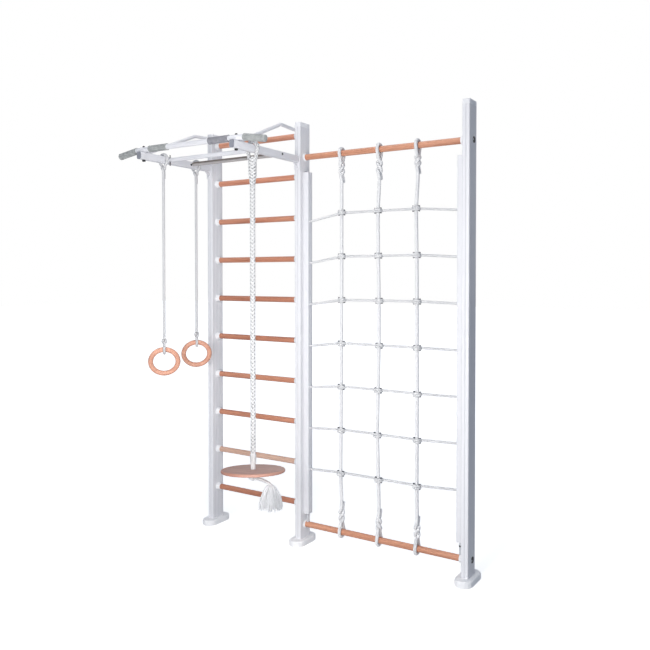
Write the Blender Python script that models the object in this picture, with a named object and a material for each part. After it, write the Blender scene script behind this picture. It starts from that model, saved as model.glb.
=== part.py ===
"""Wall bars for children: ladder, knotted climbing net, pull-up frame, rings and climbing rope.

Three steel posts stand on plastic feet. Ten beech rungs make the ladder between the left and the
middle post. Two beech bars and two side rails carry a hand-tied net between the middle and the
right post. A pull-up frame stands out from the two ladder posts, with a pair of gym rings on its
left arm and a climbing rope with a disc seat on its right arm.

The origin is the centre of the middle foot's underside, on the floor. +X runs along the wall from
the ladder to the net, +Y points at the wall and +Z is up. Sizes are in metres.
"""

import math

import bmesh
import bpy
from mathutils import Matrix, Vector

# Gaps
SEAT_GAP = 0.0003
BORE_CLEARANCE = 0.0004
ROPE_GAP = 0.0006
WRAP_GAP = 0.0001

# Posts, feet and caps
POST_WIDTH = 0.040
POST_DEPTH = 0.094
POST_WALL = 0.0025
POST_CORNER = 0.004
GROOVE_WIDTH = 0.006
GROOVE_DEPTH = 0.001
SIDE_GROOVES = 5
FRONT_GROOVES = 1
CAP_HEIGHT = 0.025
PLUG_LENGTH = 0.018
FOOT_WIDTH = 0.092
FOOT_LENGTH = 0.195
FOOT_HEIGHT = 0.032
FOOT_ROUND = 0.008
POST_ABOVE_RUNGS = 0.068
LADDER_CLEAR = 0.603
NET_CLEAR = 0.945

# Rungs, net bars and the cups that hold their ends
RUNG_COUNT = 10
RUNG_PITCH = 0.230
FIRST_RUNG_HEIGHT = 0.222
RUNG_DIAMETER = 0.032
CUP_WALL = 0.0035
CUP_REACH = 0.029
CUP_FLOOR = 0.003
CUP_FLANGE = 0.0025
CUP_ROOT = 0.0018
BAR_DIAMETER = 0.033
TOP_BAR_DROP = 0.191
BOTTOM_BAR_HEIGHT = 0.108
BAR_CUP_REACH = 0.020
END_CHAMFER = 0.0012

# Bolts that draw the net bars up to the right post
BAR_BOLT_DIAMETER = 0.008
BAR_BOLT_GRIP = 0.045
BAR_BOLT_HEAD = 0.016
BAR_BOLT_HEAD_HEIGHT = 0.008
BAR_BOLT_SOCKET = 0.007
BAR_BOLT_WINDOW = 0.020

# Side rails of the net
RAIL_WIDTH = 0.034
RAIL_DEPTH = 0.042
RAIL_WALL = 0.0015
RAIL_CORNER = 0.003
RAIL_ABOVE_BAR = 0.084
RAIL_BELOW_BAR = 0.079

# Net
NET_ROWS = 7
COLUMN_SHARES = (0.2333, 0.4966, 0.7487)
NET_MARGIN_ROWS = 1.35
NET_SPREAD = 1.025
UPRIGHT_ROPE = 0.018
CROSS_ROPE = 0.013
NET_THROAT = 0.052
NET_TWIST = 0.092
NET_TWIST_TURNS = 1
NET_TAIL = 0.024
ROPE_END_INSIDE_RAIL = 0.014
STOPPER_SWELL = 1.7

# Pull-up frame
ARM_WIDTH = 0.030
ARM_HEIGHT = 0.040
ARM_WALL = 0.002
ARM_CORNER = 0.008
ARM_DROP = 0.207
ARM_NOSE = 0.033
ARM_PLUG_FACE = 0.004
ARM_PLUG_LENGTH = 0.014
BRACKET_PLATE = 0.005
BRACKET_WIDTH = 0.038
BRACKET_RISE = 0.024
BRACKET_DROP = 0.058
BRACKET_SPIGOT = 0.045
GUSSET_THICKNESS = 0.008
GUSSET_REACH = 0.032
PULL_BAR_DIAMETER = 0.028
PULL_BAR_WALL = 0.002
PULL_BAR_REACH = 0.575
PULL_BAR_BEND_OUT = 0.034
PULL_BAR_END = 0.146
PULL_BAR_DROOP = math.radians(9)
GRIP_DIAMETER = 0.034
GRIP_LENGTH = 0.130
GRIP_COLLAR = 0.0015
INNER_GRIP_START = 0.046
OUTER_GRIP_START = 0.016
GRIP_END_WALL = 0.004
FRONT_CROSS_REACH = 0.390
FRONT_CROSS_RISE = 0.003
REAR_CROSS_REACH = 0.205
REAR_CROSS_RISE = 0.005
CROSS_DIAMETER = 0.024
CROSS_WALL = 0.0015
STRUT_DIAMETER = 0.019
STRUT_WALL = 0.0015
STRUT_FOOT_BEHIND_BAR = 0.022
STRUT_FOOT_LENGTH = 0.030
STRUT_TOP_REACH = 0.187
STRUT_TOP_SHIFT = 0.0125
STRUT_LAP = 0.021
STRUT_DROP = 0.037
FRAME_BOLT_DIAMETER = 0.008
FRAME_BOLT_HEAD = 0.015
FRAME_BOLT_HEAD_HEIGHT = 0.006

# Gym rings
RING_OUTER = 0.178
RING_SECTION = 0.028
FRONT_RING_BELOW_ARM = 1.126
REAR_RING_BELOW_ARM = 1.1055
RING_LEAN = math.radians(22)
RING_TURN = math.radians(45)
FRONT_RING_REACH = 0.430
REAR_RING_REACH = 0.168
RING_ROPE = 0.015
ARM_THROAT = 0.041
ARM_TWIST = 0.014
ARM_TWIST_TURNS = -0.25
ARM_TAIL = 0.026
RING_THROAT = 0.032
RING_TWIST = 0.028
RING_TWIST_TURNS = 0.5
FRONT_RING_TAIL = 0.022
REAR_RING_TAIL = 0.006

# Climbing rope and disc seat
ROPE_REACH = 0.447
CLIMB_ROPE = 0.030
LOOP_ROPE = 0.022
SPLICE_WIDTH = 0.046
SPLICE_TOP_DROP = 0.047
SPLICE_LENGTH = 0.145
SEAT_DIAMETER = 0.330
SEAT_THICKNESS = 0.016
SEAT_BELOW_ARM = 1.644
SEAT_TILT = math.radians(6)
SEAT_BORE_CLEARANCE = 0.0016
KNOT_DIAMETER = 0.048
KNOT_HEIGHT = 0.030
TAIL_ROPE = 0.018
TASSEL_WIDTH = 0.120
TASSEL_LENGTH = 0.135
TASSEL_LOBES = 9

# Facets
ROUND = 16
FINE_ROUND = 24
TURN_POINTS = 9
WRAP_STEPS = 9
LAP_STEPS = 8

# Worked out from the sizes above
LEFT_X = -(POST_WIDTH + LADDER_CLEAR)
MIDDLE_X = 0.0
RIGHT_X = POST_WIDTH + NET_CLEAR
HALF_WIDTH = POST_WIDTH / 2
POST_FRONT = -POST_DEPTH / 2
POST_FOOT = FOOT_HEIGHT + SEAT_GAP
RUNG_RADIUS = RUNG_DIAMETER / 2
BAR_RADIUS = BAR_DIAMETER / 2
RUNG_HEIGHTS = [FIRST_RUNG_HEIGHT + i * RUNG_PITCH for i in range(RUNG_COUNT)]
HEIGHT = RUNG_HEIGHTS[-1] + POST_ABOVE_RUNGS
POST_HEAD = HEIGHT - CAP_HEIGHT - SEAT_GAP
TOP_BAR_HEIGHT = HEIGHT - TOP_BAR_DROP
BAR_HEIGHTS = [BOTTOM_BAR_HEIGHT, TOP_BAR_HEIGHT]
ARM_LEVEL = HEIGHT - ARM_DROP
ARM_FRONT = PULL_BAR_REACH + ARM_NOSE
ARM_TOP = ARM_LEVEL + ARM_HEIGHT / 2
ARM_BOTTOM = ARM_LEVEL - ARM_HEIGHT / 2
ARM_XS = {"left": LEFT_X, "right": MIDDLE_X}
PULL_BAR_LEVEL = ARM_TOP + SEAT_GAP + PULL_BAR_DIAMETER / 2
STRUT_LEVEL = HEIGHT - STRUT_DROP
STRUT_FOOT_REACH = PULL_BAR_REACH - STRUT_FOOT_BEHIND_BAR
SEAT_LEVEL = ARM_LEVEL - SEAT_BELOW_ARM
RAIL_LOW_END = BOTTOM_BAR_HEIGHT + RAIL_ABOVE_BAR
RAIL_HIGH_END = TOP_BAR_HEIGHT - RAIL_BELOW_BAR
NET_MIDDLE = (BOTTOM_BAR_HEIGHT + TOP_BAR_HEIGHT) / 2
NET_KNOT_PITCH = (TOP_BAR_HEIGHT - BOTTOM_BAR_HEIGHT) / (NET_ROWS - 1 + 2 * NET_MARGIN_ROWS)
RAIL_HOLE_PITCH = NET_KNOT_PITCH / NET_SPREAD
NET_LEFT = MIDDLE_X + HALF_WIDTH + SEAT_GAP + RAIL_WIDTH
NET_RIGHT = RIGHT_X - HALF_WIDTH - SEAT_GAP - RAIL_WIDTH
UP = Vector((0, 0, 1))
RIGHT = Vector((1, 0, 0))
BACK = Vector((0, 1, 0))

# Finishes: colour, roughness, metallic
WHITE_STEEL = ((0.86, 0.86, 0.88), 0.35, 0.0)
WHITE_PLASTIC = ((0.88, 0.88, 0.87), 0.45, 0.0)
GREY_PLASTIC = ((0.16, 0.17, 0.19), 0.5, 0.0)
BLACK_STEEL = ((0.02, 0.02, 0.025), 0.35, 0.9)
BEECH = ((0.72, 0.36, 0.22), 0.45, 0.0)
SEAT_WOOD = ((0.50, 0.27, 0.20), 0.4, 0.0)
GRIP_FOAM = ((0.35, 0.36, 0.37), 0.8, 0.0)
WHITE_ROPE = ((0.82, 0.82, 0.80), 0.85, 0.0)


def clear_scene():
    for old in list(bpy.data.objects):
        bpy.data.objects.remove(old)


def finish(name, look):
    colour, roughness, metallic = look
    material = bpy.data.materials.new(name)
    material.use_nodes = True
    shader = material.node_tree.nodes["Principled BSDF"]
    shader.inputs["Base Color"].default_value = (*colour, 1)
    shader.inputs["Roughness"].default_value = roughness
    shader.inputs["Metallic"].default_value = metallic
    material.diffuse_color = (*colour, 1)
    return material


def add(name, data, look=None):
    """A named object in the scene, with its own material unless it is only a cutter."""
    piece = bpy.data.objects.new(name, data)
    bpy.context.scene.collection.objects.link(piece)
    if look:
        data.materials.append(finish(name, look))
    else:
        piece.hide_render = True
        piece.display_type = "WIRE"
    return piece


def to_mesh(bm, name, smooth=False):
    """A mesh from a closed bmesh, with its faces pointing out."""
    bmesh.ops.recalc_face_normals(bm, faces=bm.faces)
    mesh = bpy.data.meshes.new(name)
    bm.to_mesh(mesh)
    bm.free()
    if smooth:
        mesh.shade_smooth()
        mesh.set_sharp_from_angle(angle=math.radians(35))
    return mesh


def skin(bm, rings):
    """Quads between rings of the same number of points."""
    for lower, upper in zip(rings, rings[1:]):
        for index in range(len(lower)):
            bm.faces.new((lower[index - 1], lower[index], upper[index], upper[index - 1]))


def revolve(name, profile, segments=ROUND, ring=False):
    """Turns a profile of (radius, height) points about Z. A ring's profile closes on itself."""
    bm = bmesh.new()
    points = [bm.verts.new((radius, 0, height)) for radius, height in profile]
    pairs = list(zip(points, points[1:]))
    if ring:
        pairs.append((points[-1], points[0]))
    edges = [bm.edges.new(pair) for pair in pairs]
    bmesh.ops.spin(bm, geom=points + edges, cent=(0, 0, 0), axis=(0, 0, 1), dvec=(0, 0, 0),
                   angle=2 * math.pi, steps=segments)
    bmesh.ops.remove_doubles(bm, verts=bm.verts, dist=1e-6)
    return to_mesh(bm, name, smooth=True)


def extrude(name, outlines, low, high):
    """A prism along Z from closed outlines of (x, y) points: the outer one, then its holes."""
    bm = bmesh.new()
    edges = []
    for outline in outlines:
        points = [bm.verts.new((x, y, low)) for x, y in outline]
        edges += [bm.edges.new(pair) for pair in zip(points, points[1:] + points[:1])]
    filled = bmesh.ops.triangle_fill(bm, use_beauty=True, edges=edges)["geom"]
    faces = [item for item in filled if isinstance(item, bmesh.types.BMFace)]
    grown = bmesh.ops.extrude_face_region(bm, geom=faces)["geom"]
    moved = [item for item in grown if isinstance(item, bmesh.types.BMVert)]
    bmesh.ops.translate(bm, verts=moved, vec=(0, 0, high - low))
    return to_mesh(bm, name)


def block(name, low, high):
    """A rectangular block between two corners."""
    low, high = Vector(low), Vector(high)
    bm = bmesh.new()
    bmesh.ops.create_cube(bm, size=1)
    bmesh.ops.scale(bm, verts=bm.verts, vec=high - low)
    bmesh.ops.translate(bm, verts=bm.verts, vec=(low + high) / 2)
    return to_mesh(bm, name)


def place(piece, at, along=UP):
    """Puts a piece's own origin at a point, with its own Z along a direction."""
    piece.matrix_world = Matrix.Translation(at) @ UP.rotation_difference(along).to_matrix().to_4x4()
    return piece


def boolean(piece, operation, other):
    """Joins the other object to a piece, or cuts it out of the piece."""
    other.hide_render = True
    other.display_type = "WIRE"
    step = piece.modifiers.new(operation.lower() + "_" + other.name, "BOOLEAN")
    step.operation = operation
    step.solver = "EXACT"
    step.object = other
    return piece


def gathered(name, meshes):
    """One guide object from several meshes and the matrices that place them."""
    bm = bmesh.new()
    for mesh, matrix in meshes:
        mesh.transform(matrix)
        bm.from_mesh(mesh)
    return add(name, to_mesh(bm, name))


def facing(at, along):
    """The matrix that puts a turned shape at a point with its Z along a direction."""
    return Matrix.Translation(at) @ UP.rotation_difference(Vector(along)).to_matrix().to_4x4()


def rope(name, points, diameter, look=WHITE_ROPE, swell=None, sides=1):
    """A rope as a tube along its points. Swell gives some points a larger share of the radius."""
    curve = bpy.data.curves.new(name, "CURVE")
    curve.dimensions = "3D"
    curve.bevel_depth = diameter / 2
    curve.bevel_resolution = sides
    curve.use_fill_caps = True
    spline = curve.splines.new("POLY")
    spline.points.add(len(points) - 1)
    for index, point in enumerate(points):
        spline.points[index].co = (*point, 1)
        spline.points[index].radius = (swell or {}).get(index, 1)
    spline.use_smooth = True
    return add(name, curve, look)


def arc(centre, first, second, radius, start, sweep, steps, drift=Vector((0, 0, 0))):
    """Points on an arc from first towards second, moved along drift as it goes round."""
    points = []
    for step in range(steps + 1):
        share = step / steps
        angle = start + sweep * share
        spoke = first * math.cos(angle) + second * math.sin(angle)
        points.append(centre + spoke * radius + drift * share)
    return points


def around(wrap, throat, spread=0):
    """The radius whose chords clear a wrap circle, and where lines from the throat touch it.

    The two lines start at the throat, each as far from the axis as spread says.
    """
    reach = math.hypot(throat, spread)
    lean = math.atan2(spread, throat)
    wide = wrap / math.cos((math.pi - lean - math.acos(wrap / reach)) / WRAP_STEPS)
    return wide, lean + math.acos(wide / reach)


def hitch(bar, away, side, wrap, diameter, throat, turns, twist, tail):
    """A rope's end thrown round a bar and twisted with its own standing part.

    Away points from the bar along the standing part, and side is square to away and to the bar.
    The standing part winds into the twist, which is so many turns on a length, and leaves it at
    the throat. From there the rope goes round the wrap circle and back through the twist on the
    other side, and ends in a short tail beside the standing part.
    """
    apart = (diameter + ROPE_GAP) / 2
    wide, touch = around(wrap, throat, apart)
    across = away.cross(side)
    first = bar + away * throat
    angle = 2 * math.pi * turns
    steps = max(2, round(TURN_POINTS * abs(turns)))
    standing = arc(first, side, across, apart, 0, angle, steps, away * twist)
    ending = arc(first, side, across, apart, math.pi, angle, steps, away * twist)
    spoke = (ending[-1] - standing[-1]) / 2
    ease = away * diameter * 1.4
    points = [first + away * twist + ease] + standing[::-1]
    points += arc(bar, away, side, wide, touch, 2 * (math.pi - touch), WRAP_STEPS)
    return points + ending + [ending[-1] + spoke + ease, ending[-1] + spoke + ease + away * tail]


def least_gap(points, diameter):
    """The smallest space between stretches of one rope that aren't neighbours along it."""
    lengths = [0.0]
    for a, b in zip(points, points[1:]):
        lengths.append(lengths[-1] + (b - a).length)
    least = math.inf
    for i, a in enumerate(points):
        for j in range(i + 1, len(points)):
            if lengths[j] - lengths[i] > 3 * diameter:
                least = min(least, (points[j] - a).length - diameter)
    return least


def report_gap(name, points, diameter):
    print(f"{name}: least gap to itself {least_gap(points, diameter) * 1000:.2f} mm")


def rounded(width, depth, corner, steps=2):
    """A rectangle centred on the origin with round corners."""
    points = []
    for quarter in range(4):
        sign_x = 1 if quarter in (0, 3) else -1
        sign_y = 1 if quarter in (0, 1) else -1
        for step in range(steps + 1):
            angle = math.pi / 2 * (quarter + step / steps)
            points.append((sign_x * (width / 2 - corner) + corner * math.cos(angle),
                           sign_y * (depth / 2 - corner) + corner * math.sin(angle)))
    return points


def grooved_side(start, end, grooves):
    """Points of shallow flat-bottomed grooves, evenly spaced along a straight side."""
    start, end = Vector(start), Vector(end)
    along = (end - start).normalized()
    inward = Vector((-along.y, along.x))
    pitch = (end - start).length / (grooves + 1)
    points = []
    for index in range(grooves):
        middle = start + along * pitch * (index + 1)
        edge = along * GROOVE_WIDTH / 2
        floor = edge - along * GROOVE_DEPTH
        points += [middle - edge, middle - floor + inward * GROOVE_DEPTH,
                   middle + floor + inward * GROOVE_DEPTH, middle + edge]
    return [tuple(point) for point in points]


def post_outline():
    """The post's outer section: round corners, and grooves down its sides and front."""
    corners = rounded(POST_WIDTH, POST_DEPTH, POST_CORNER)
    outline = []
    for quarter, grooves in enumerate([FRONT_GROOVES, SIDE_GROOVES, FRONT_GROOVES, SIDE_GROOVES]):
        turn = corners[quarter * 3:quarter * 3 + 3]
        following = corners[(quarter * 3 + 3) % len(corners)]
        outline += turn + grooved_side(turn[-1], following, grooves)
    return outline


def post_bore():
    return rounded(POST_WIDTH - 2 * POST_WALL, POST_DEPTH - 2 * POST_WALL, POST_WALL, 1)


def plug_outline():
    """The section of a plug that fits the post's bore."""
    slack = 2 * (POST_WALL + SEAT_GAP)
    return rounded(POST_WIDTH - slack, POST_DEPTH - slack, POST_WALL, 1)


def cup(name, radius, reach):
    """A moulded cup for a bar's end: flange on the post, tapered collar, bore and floor."""
    bore = radius + BORE_CLEARANCE
    rim = bore + CUP_WALL
    return revolve(name, [
        (0, -CUP_ROOT), (rim + CUP_FLANGE, -CUP_ROOT), (rim + CUP_FLANGE, CUP_FLANGE),
        (rim - CUP_FLANGE / 3, reach), (bore, reach), (bore, CUP_FLOOR), (0, CUP_FLOOR)])


def cups(name, x, outward, heights, radius, reach):
    """The cups on one face of a post, gathered into one object for the union with the post."""
    return gathered(name, [(cup(name, radius, reach), facing((x, 0, height), (outward, 0, 0)))
                           for height in heights])


def make_posts():
    """Steel tubes with grooved sides, and the rung and bar cups set into them."""
    for name, x in (("left_post", LEFT_X), ("middle_post", MIDDLE_X), ("right_post", RIGHT_X)):
        mesh = extrude(name, [post_outline(), post_bore()], POST_FOOT, POST_HEAD)
        place(add(name, mesh, WHITE_STEEL), (x, 0, 0))
    posts = bpy.data.objects
    boolean(posts["left_post"], "UNION",
            cups("left_cups", LEFT_X + HALF_WIDTH, 1, RUNG_HEIGHTS, RUNG_RADIUS, CUP_REACH))
    boolean(posts["middle_post"], "UNION",
            cups("middle_cups", MIDDLE_X - HALF_WIDTH, -1, RUNG_HEIGHTS, RUNG_RADIUS, CUP_REACH))
    boolean(posts["middle_post"], "UNION",
            cups("bar_cups", MIDDLE_X + HALF_WIDTH, 1, BAR_HEIGHTS, BAR_RADIUS, BAR_CUP_REACH))
    boolean(posts["right_post"], "UNION",
            cups("right_cups", RIGHT_X - HALF_WIDTH, -1, BAR_HEIGHTS, BAR_RADIUS, BAR_CUP_REACH))
    boolean(posts["right_post"], "DIFFERENCE", bolt_holes())


def bolt_holes():
    """A wide window in the right post's outer wall and a shank hole through the cup's floor."""
    meshes = []
    for height in BAR_HEIGHTS:
        window = revolve("window", [(0, 0), (BAR_BOLT_WINDOW / 2, 0),
                                    (BAR_BOLT_WINDOW / 2, HALF_WIDTH), (0, HALF_WIDTH)])
        hole_radius = BAR_BOLT_DIAMETER / 2 + BORE_CLEARANCE
        reach = HALF_WIDTH + 2 * CUP_FLOOR
        hole = revolve("shank_hole", [(0, 0), (hole_radius, 0), (hole_radius, reach), (0, reach)], 12)
        meshes.append((window, facing((RIGHT_X + POST_WALL, 0, height), (1, 0, 0))))
        meshes.append((hole, facing((RIGHT_X, 0, height), (-1, 0, 0))))
    return gathered("bolt_holes", meshes)


def make_caps_and_feet():
    """A plain cap that plugs the top of each post, and a long foot that plugs its bottom."""
    for side, x in (("left", LEFT_X), ("middle", MIDDLE_X), ("right", RIGHT_X)):
        cap_name = side + "_cap"
        crown = rounded(POST_WIDTH, POST_DEPTH, POST_CORNER)
        cap = place(add(cap_name, extrude(cap_name, [crown], HEIGHT - CAP_HEIGHT, HEIGHT),
                        WHITE_PLASTIC), (x, 0, 0))
        soften(cap, POST_CORNER / 3)
        plug = extrude("plug", [plug_outline()], HEIGHT - CAP_HEIGHT - PLUG_LENGTH,
                       HEIGHT - CAP_HEIGHT / 2)
        boolean(cap, "UNION", place(add(side + "_cap_plug", plug), (x, 0, 0)))
        foot_name = side + "_foot"
        foot = place(add(foot_name, foot_mesh(foot_name), WHITE_PLASTIC), (x, 0, 0))
        insert = extrude("insert", [plug_outline()], FOOT_HEIGHT / 2, FOOT_HEIGHT + PLUG_LENGTH)
        boolean(foot, "UNION", place(add(side + "_foot_plug", insert), (x, 0, 0)))


def soften(piece, width):
    """Rounds a piece's hard edges."""
    bevel = piece.modifiers.new("soft_edges", "BEVEL")
    bevel.width = width
    bevel.segments = 1
    bevel.limit_method = "ANGLE"
    bevel.angle_limit = math.radians(50)


def foot_mesh(name):
    """A pad with half-round ends whose top edge is rounded over."""
    half_run = (FOOT_LENGTH - FOOT_WIDTH) / 2
    bm = bmesh.new()
    rings = []
    for inset, height in ((FOOT_ROUND / 4, 0), (0, FOOT_ROUND / 4), (0, FOOT_HEIGHT - FOOT_ROUND),
                          (FOOT_ROUND * 0.3, FOOT_HEIGHT - FOOT_ROUND * 0.3),
                          (FOOT_ROUND, FOOT_HEIGHT)):
        radius = FOOT_WIDTH / 2 - inset
        ring = []
        for end in (1, -1):
            for step in range(9):
                angle = math.pi * step / 8 + (0 if end == 1 else math.pi)
                ring.append(bm.verts.new((radius * math.cos(angle),
                                          end * half_run + radius * math.sin(angle), height)))
        rings.append(ring)
    skin(bm, rings)
    bm.faces.new(rings[0])
    bm.faces.new(rings[-1])
    return to_mesh(bm, name, smooth=True)


def turned_bar(name, radius, start, end, segments=ROUND):
    """A turned wooden bar along X with broken end edges."""
    length = end - start
    profile = [(0, 0), (radius - END_CHAMFER, 0), (radius, END_CHAMFER),
               (radius, length - END_CHAMFER), (radius - END_CHAMFER, length), (0, length)]
    return revolve(name, profile, segments), facing((start, 0, 0), (1, 0, 0))


def make_rungs():
    """Ten rungs seated in the cups of the left and the middle post."""
    start = LEFT_X + HALF_WIDTH + CUP_FLOOR + SEAT_GAP
    end = MIDDLE_X - HALF_WIDTH - CUP_FLOOR - SEAT_GAP
    for index, height in enumerate(RUNG_HEIGHTS):
        name = f"rung_{index + 1:02d}"
        mesh, turn = turned_bar(name, RUNG_RADIUS, start, end)
        add(name, mesh, BEECH).matrix_world = Matrix.Translation((0, 0, height)) @ turn


def make_net_bars():
    """The two bars that the net hangs between, and the bolts in their right ends."""
    start = MIDDLE_X + HALF_WIDTH + CUP_FLOOR + SEAT_GAP
    end = RIGHT_X - HALF_WIDTH - CUP_FLOOR - SEAT_GAP
    bore = BAR_BOLT_DIAMETER / 2 + BORE_CLEARANCE
    seat = RIGHT_X - HALF_WIDTH + POST_WALL + SEAT_GAP
    for side, height in (("bottom", BOTTOM_BAR_HEIGHT), ("top", TOP_BAR_HEIGHT)):
        name = side + "_net_bar"
        mesh, turn = turned_bar(name, BAR_RADIUS, start, end)
        bar = add(name, mesh, BEECH)
        bar.matrix_world = Matrix.Translation((0, 0, height)) @ turn
        drilling = revolve("drilling", [(0, 0), (bore, 0), (bore, BAR_BOLT_GRIP + 2 * CUP_FLOOR),
                                        (0, BAR_BOLT_GRIP + 2 * CUP_FLOOR)], 12)
        boolean(bar, "DIFFERENCE",
                place(add(side + "_drilling", drilling), (end + CUP_FLOOR, 0, height), -RIGHT))
        shank = BAR_BOLT_DIAMETER / 2
        head = BAR_BOLT_HEAD / 2
        socket = BAR_BOLT_SOCKET / 2
        bolt = revolve(side + "_bar_bolt", [
            (0, -BAR_BOLT_GRIP), (shank, -BAR_BOLT_GRIP), (shank, 0), (head, 0),
            (head, BAR_BOLT_HEAD_HEIGHT * 0.85), (head * 0.9, BAR_BOLT_HEAD_HEIGHT),
            (socket, BAR_BOLT_HEAD_HEIGHT), (socket, BAR_BOLT_HEAD_HEIGHT / 2),
            (0, BAR_BOLT_HEAD_HEIGHT / 2)], 12)
        place(add(side + "_bar_bolt", bolt, BLACK_STEEL), (seat, 0, height), RIGHT)


def hole_heights():
    """The heights of the net's holes, spread evenly about the middle of the rails."""
    first = NET_MIDDLE - RAIL_HOLE_PITCH * (NET_ROWS - 1) / 2
    return [first + RAIL_HOLE_PITCH * row for row in range(NET_ROWS)]


def make_rails():
    """Square tubes on the posts' inner faces, drilled for the net's cross ropes."""
    outer = rounded(RAIL_WIDTH, RAIL_DEPTH, RAIL_CORNER)
    inner = rounded(RAIL_WIDTH - 2 * RAIL_WALL, RAIL_DEPTH - 2 * RAIL_WALL, RAIL_WALL, 1)
    radius = CROSS_ROPE / 2 + BORE_CLEARANCE
    for name, face, side in (("left_net_rail", NET_LEFT, 1), ("right_net_rail", NET_RIGHT, -1)):
        rail = add(name, extrude(name, [outer, inner], RAIL_LOW_END, RAIL_HIGH_END), WHITE_STEEL)
        place(rail, (face - side * RAIL_WIDTH / 2, 0, 0))
        drills = []
        for height in hole_heights():
            drill = revolve("drill", [(0, -RAIL_WIDTH / 2), (radius, -RAIL_WIDTH / 2),
                                      (radius, RAIL_WALL), (0, RAIL_WALL)], 12)
            drills.append((drill, facing((face, 0, height), (side, 0, 0))))
        boolean(rail, "DIFFERENCE", gathered(name + "_drills", drills))


def column_x(share):
    """The place of an upright rope at its share of the way between the rails."""
    return NET_LEFT + (NET_RIGHT - NET_LEFT) * share


def make_upright_ropes():
    """The net's thick ropes, hitched round both bars and hanging plumb between them."""
    wrap = BAR_RADIUS + UPRIGHT_ROPE / 2 + WRAP_GAP
    for column, share in enumerate(COLUMN_SHARES, 1):
        name = f"net_upright_{column}"
        hand = -1 if column % 2 else 1
        x = column_x(share)
        ends = []
        for height, away in ((BOTTOM_BAR_HEIGHT, UP), (TOP_BAR_HEIGHT, -UP)):
            bar = Vector((x, 0, height))
            ends.append(hitch(bar, away, BACK * -1, wrap, UPRIGHT_ROPE, NET_THROAT,
                              NET_TWIST_TURNS, NET_TWIST, NET_TAIL))
        low, high = ends
        middle = [Vector((x, 0, NET_MIDDLE + share * NET_KNOT_PITCH * (NET_ROWS - 1) / 2))
                  for share in (-1, -0.5, 0, 0.5, 1)]
        points = low[::-1] + middle + high
        if hand > 0:
            points = [Vector((2 * x - point.x, point.y, point.z)) for point in points]
        report_gap(name, points, UPRIGHT_ROPE)
        rope(name, points, UPRIGHT_ROPE)


def make_cross_ropes():
    """The net's thin ropes: a full turn round each upright, and a stopper inside each rail."""
    lap = math.radians(15)
    sweep = 2 * math.pi + 2 * lap
    drop = (CROSS_ROPE + ROPE_GAP) * sweep / (2 * math.pi)
    wrap = ((UPRIGHT_ROPE + CROSS_ROPE) / 2 + WRAP_GAP) / math.cos(sweep / 2 / LAP_STEPS)
    for row, hole in enumerate(hole_heights()):
        name = f"net_cross_{row + 1}"
        knot = NET_MIDDLE + NET_KNOT_PITCH * (row - (NET_ROWS - 1) / 2)
        points = [Vector((NET_LEFT - ROPE_END_INSIDE_RAIL, 0, hole)),
                  Vector((NET_LEFT - ROPE_END_INSIDE_RAIL * 0.5, 0, hole)),
                  Vector((NET_LEFT - RAIL_WALL, 0, hole)),
                  Vector((NET_LEFT + CROSS_ROPE / 2, 0, hole))]
        for share in COLUMN_SHARES:
            centre = Vector((column_x(share), 0, knot + drop / 2))
            points += arc(centre, RIGHT, BACK, wrap, math.pi / 2 + lap, -sweep, LAP_STEPS, -UP * drop)
        points += [Vector((NET_LEFT + NET_RIGHT - point.x, 0, hole)) for point in points[3::-1]]
        report_gap(name, points, CROSS_ROPE)
        rope(name, points, CROSS_ROPE, swell={0: 1.2, 1: STOPPER_SWELL, len(points) - 2: STOPPER_SWELL,
                                              len(points) - 1: 1.2})


def tube(name, points, outer, inner=0, segments=ROUND):
    """A tube swept along points in the frame of least twist: solid, or open-ended with a bore."""
    bm = bmesh.new()
    normal = (points[1] - points[0]).normalized().orthogonal().normalized()
    walls = {outer: [], inner: []} if inner else {outer: []}
    for index, point in enumerate(points):
        before = points[max(index - 1, 0)]
        after = points[min(index + 1, len(points) - 1)]
        tangent = (after - before).normalized()
        normal = (normal - tangent * normal.dot(tangent)).normalized()
        other = tangent.cross(normal)
        for radius, rings in walls.items():
            circle = arc(point, normal, other, radius, 0, 2 * math.pi, segments)[:-1]
            rings.append([bm.verts.new(spot) for spot in circle])
    for rings in walls.values():
        skin(bm, rings)
    for end in (0, -1):
        if inner:
            skin(bm, [walls[outer][end], walls[inner][end]])
        else:
            bm.faces.new(walls[outer][end])
    return to_mesh(bm, name, smooth=True)


def box_tube(name, width, height, wall, corner, length):
    """A square tube along its own Z."""
    inner_corner = corner - wall
    return extrude(name, [rounded(width, height, corner),
                          rounded(width - 2 * wall, height - 2 * wall, inner_corner)], 0, length)


def forward(x, y, z):
    """The matrix that lays a prism's own Z along -Y, with its own Y upright."""
    return Matrix.Translation((x, y, z)) @ Matrix.Rotation(math.pi / 2, 4, "X")


def make_arms():
    """Square arms, the brackets that bolt them to the posts, and their front plugs."""
    rear = POST_FRONT - 2 * SEAT_GAP - BRACKET_PLATE
    length = ARM_FRONT + rear
    for side, x in ARM_XS.items():
        name = side + "_arm"
        arm = add(name, box_tube(name, ARM_WIDTH, ARM_HEIGHT, ARM_WALL, ARM_CORNER, length),
                  WHITE_STEEL)
        arm.matrix_world = forward(x, rear, ARM_LEVEL)
        hole = FRAME_BOLT_DIAMETER / 2 + BORE_CLEARANCE
        drill = revolve("arm_drill", [(0, -ARM_HEIGHT), (hole, -ARM_HEIGHT), (hole, ARM_HEIGHT),
                                      (0, ARM_HEIGHT)], 12)
        boolean(arm, "DIFFERENCE",
                place(add(side + "_arm_drill", drill), (x, -PULL_BAR_REACH, ARM_LEVEL)))
        make_bracket(side, x)
        make_arm_plug(side, x)


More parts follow.
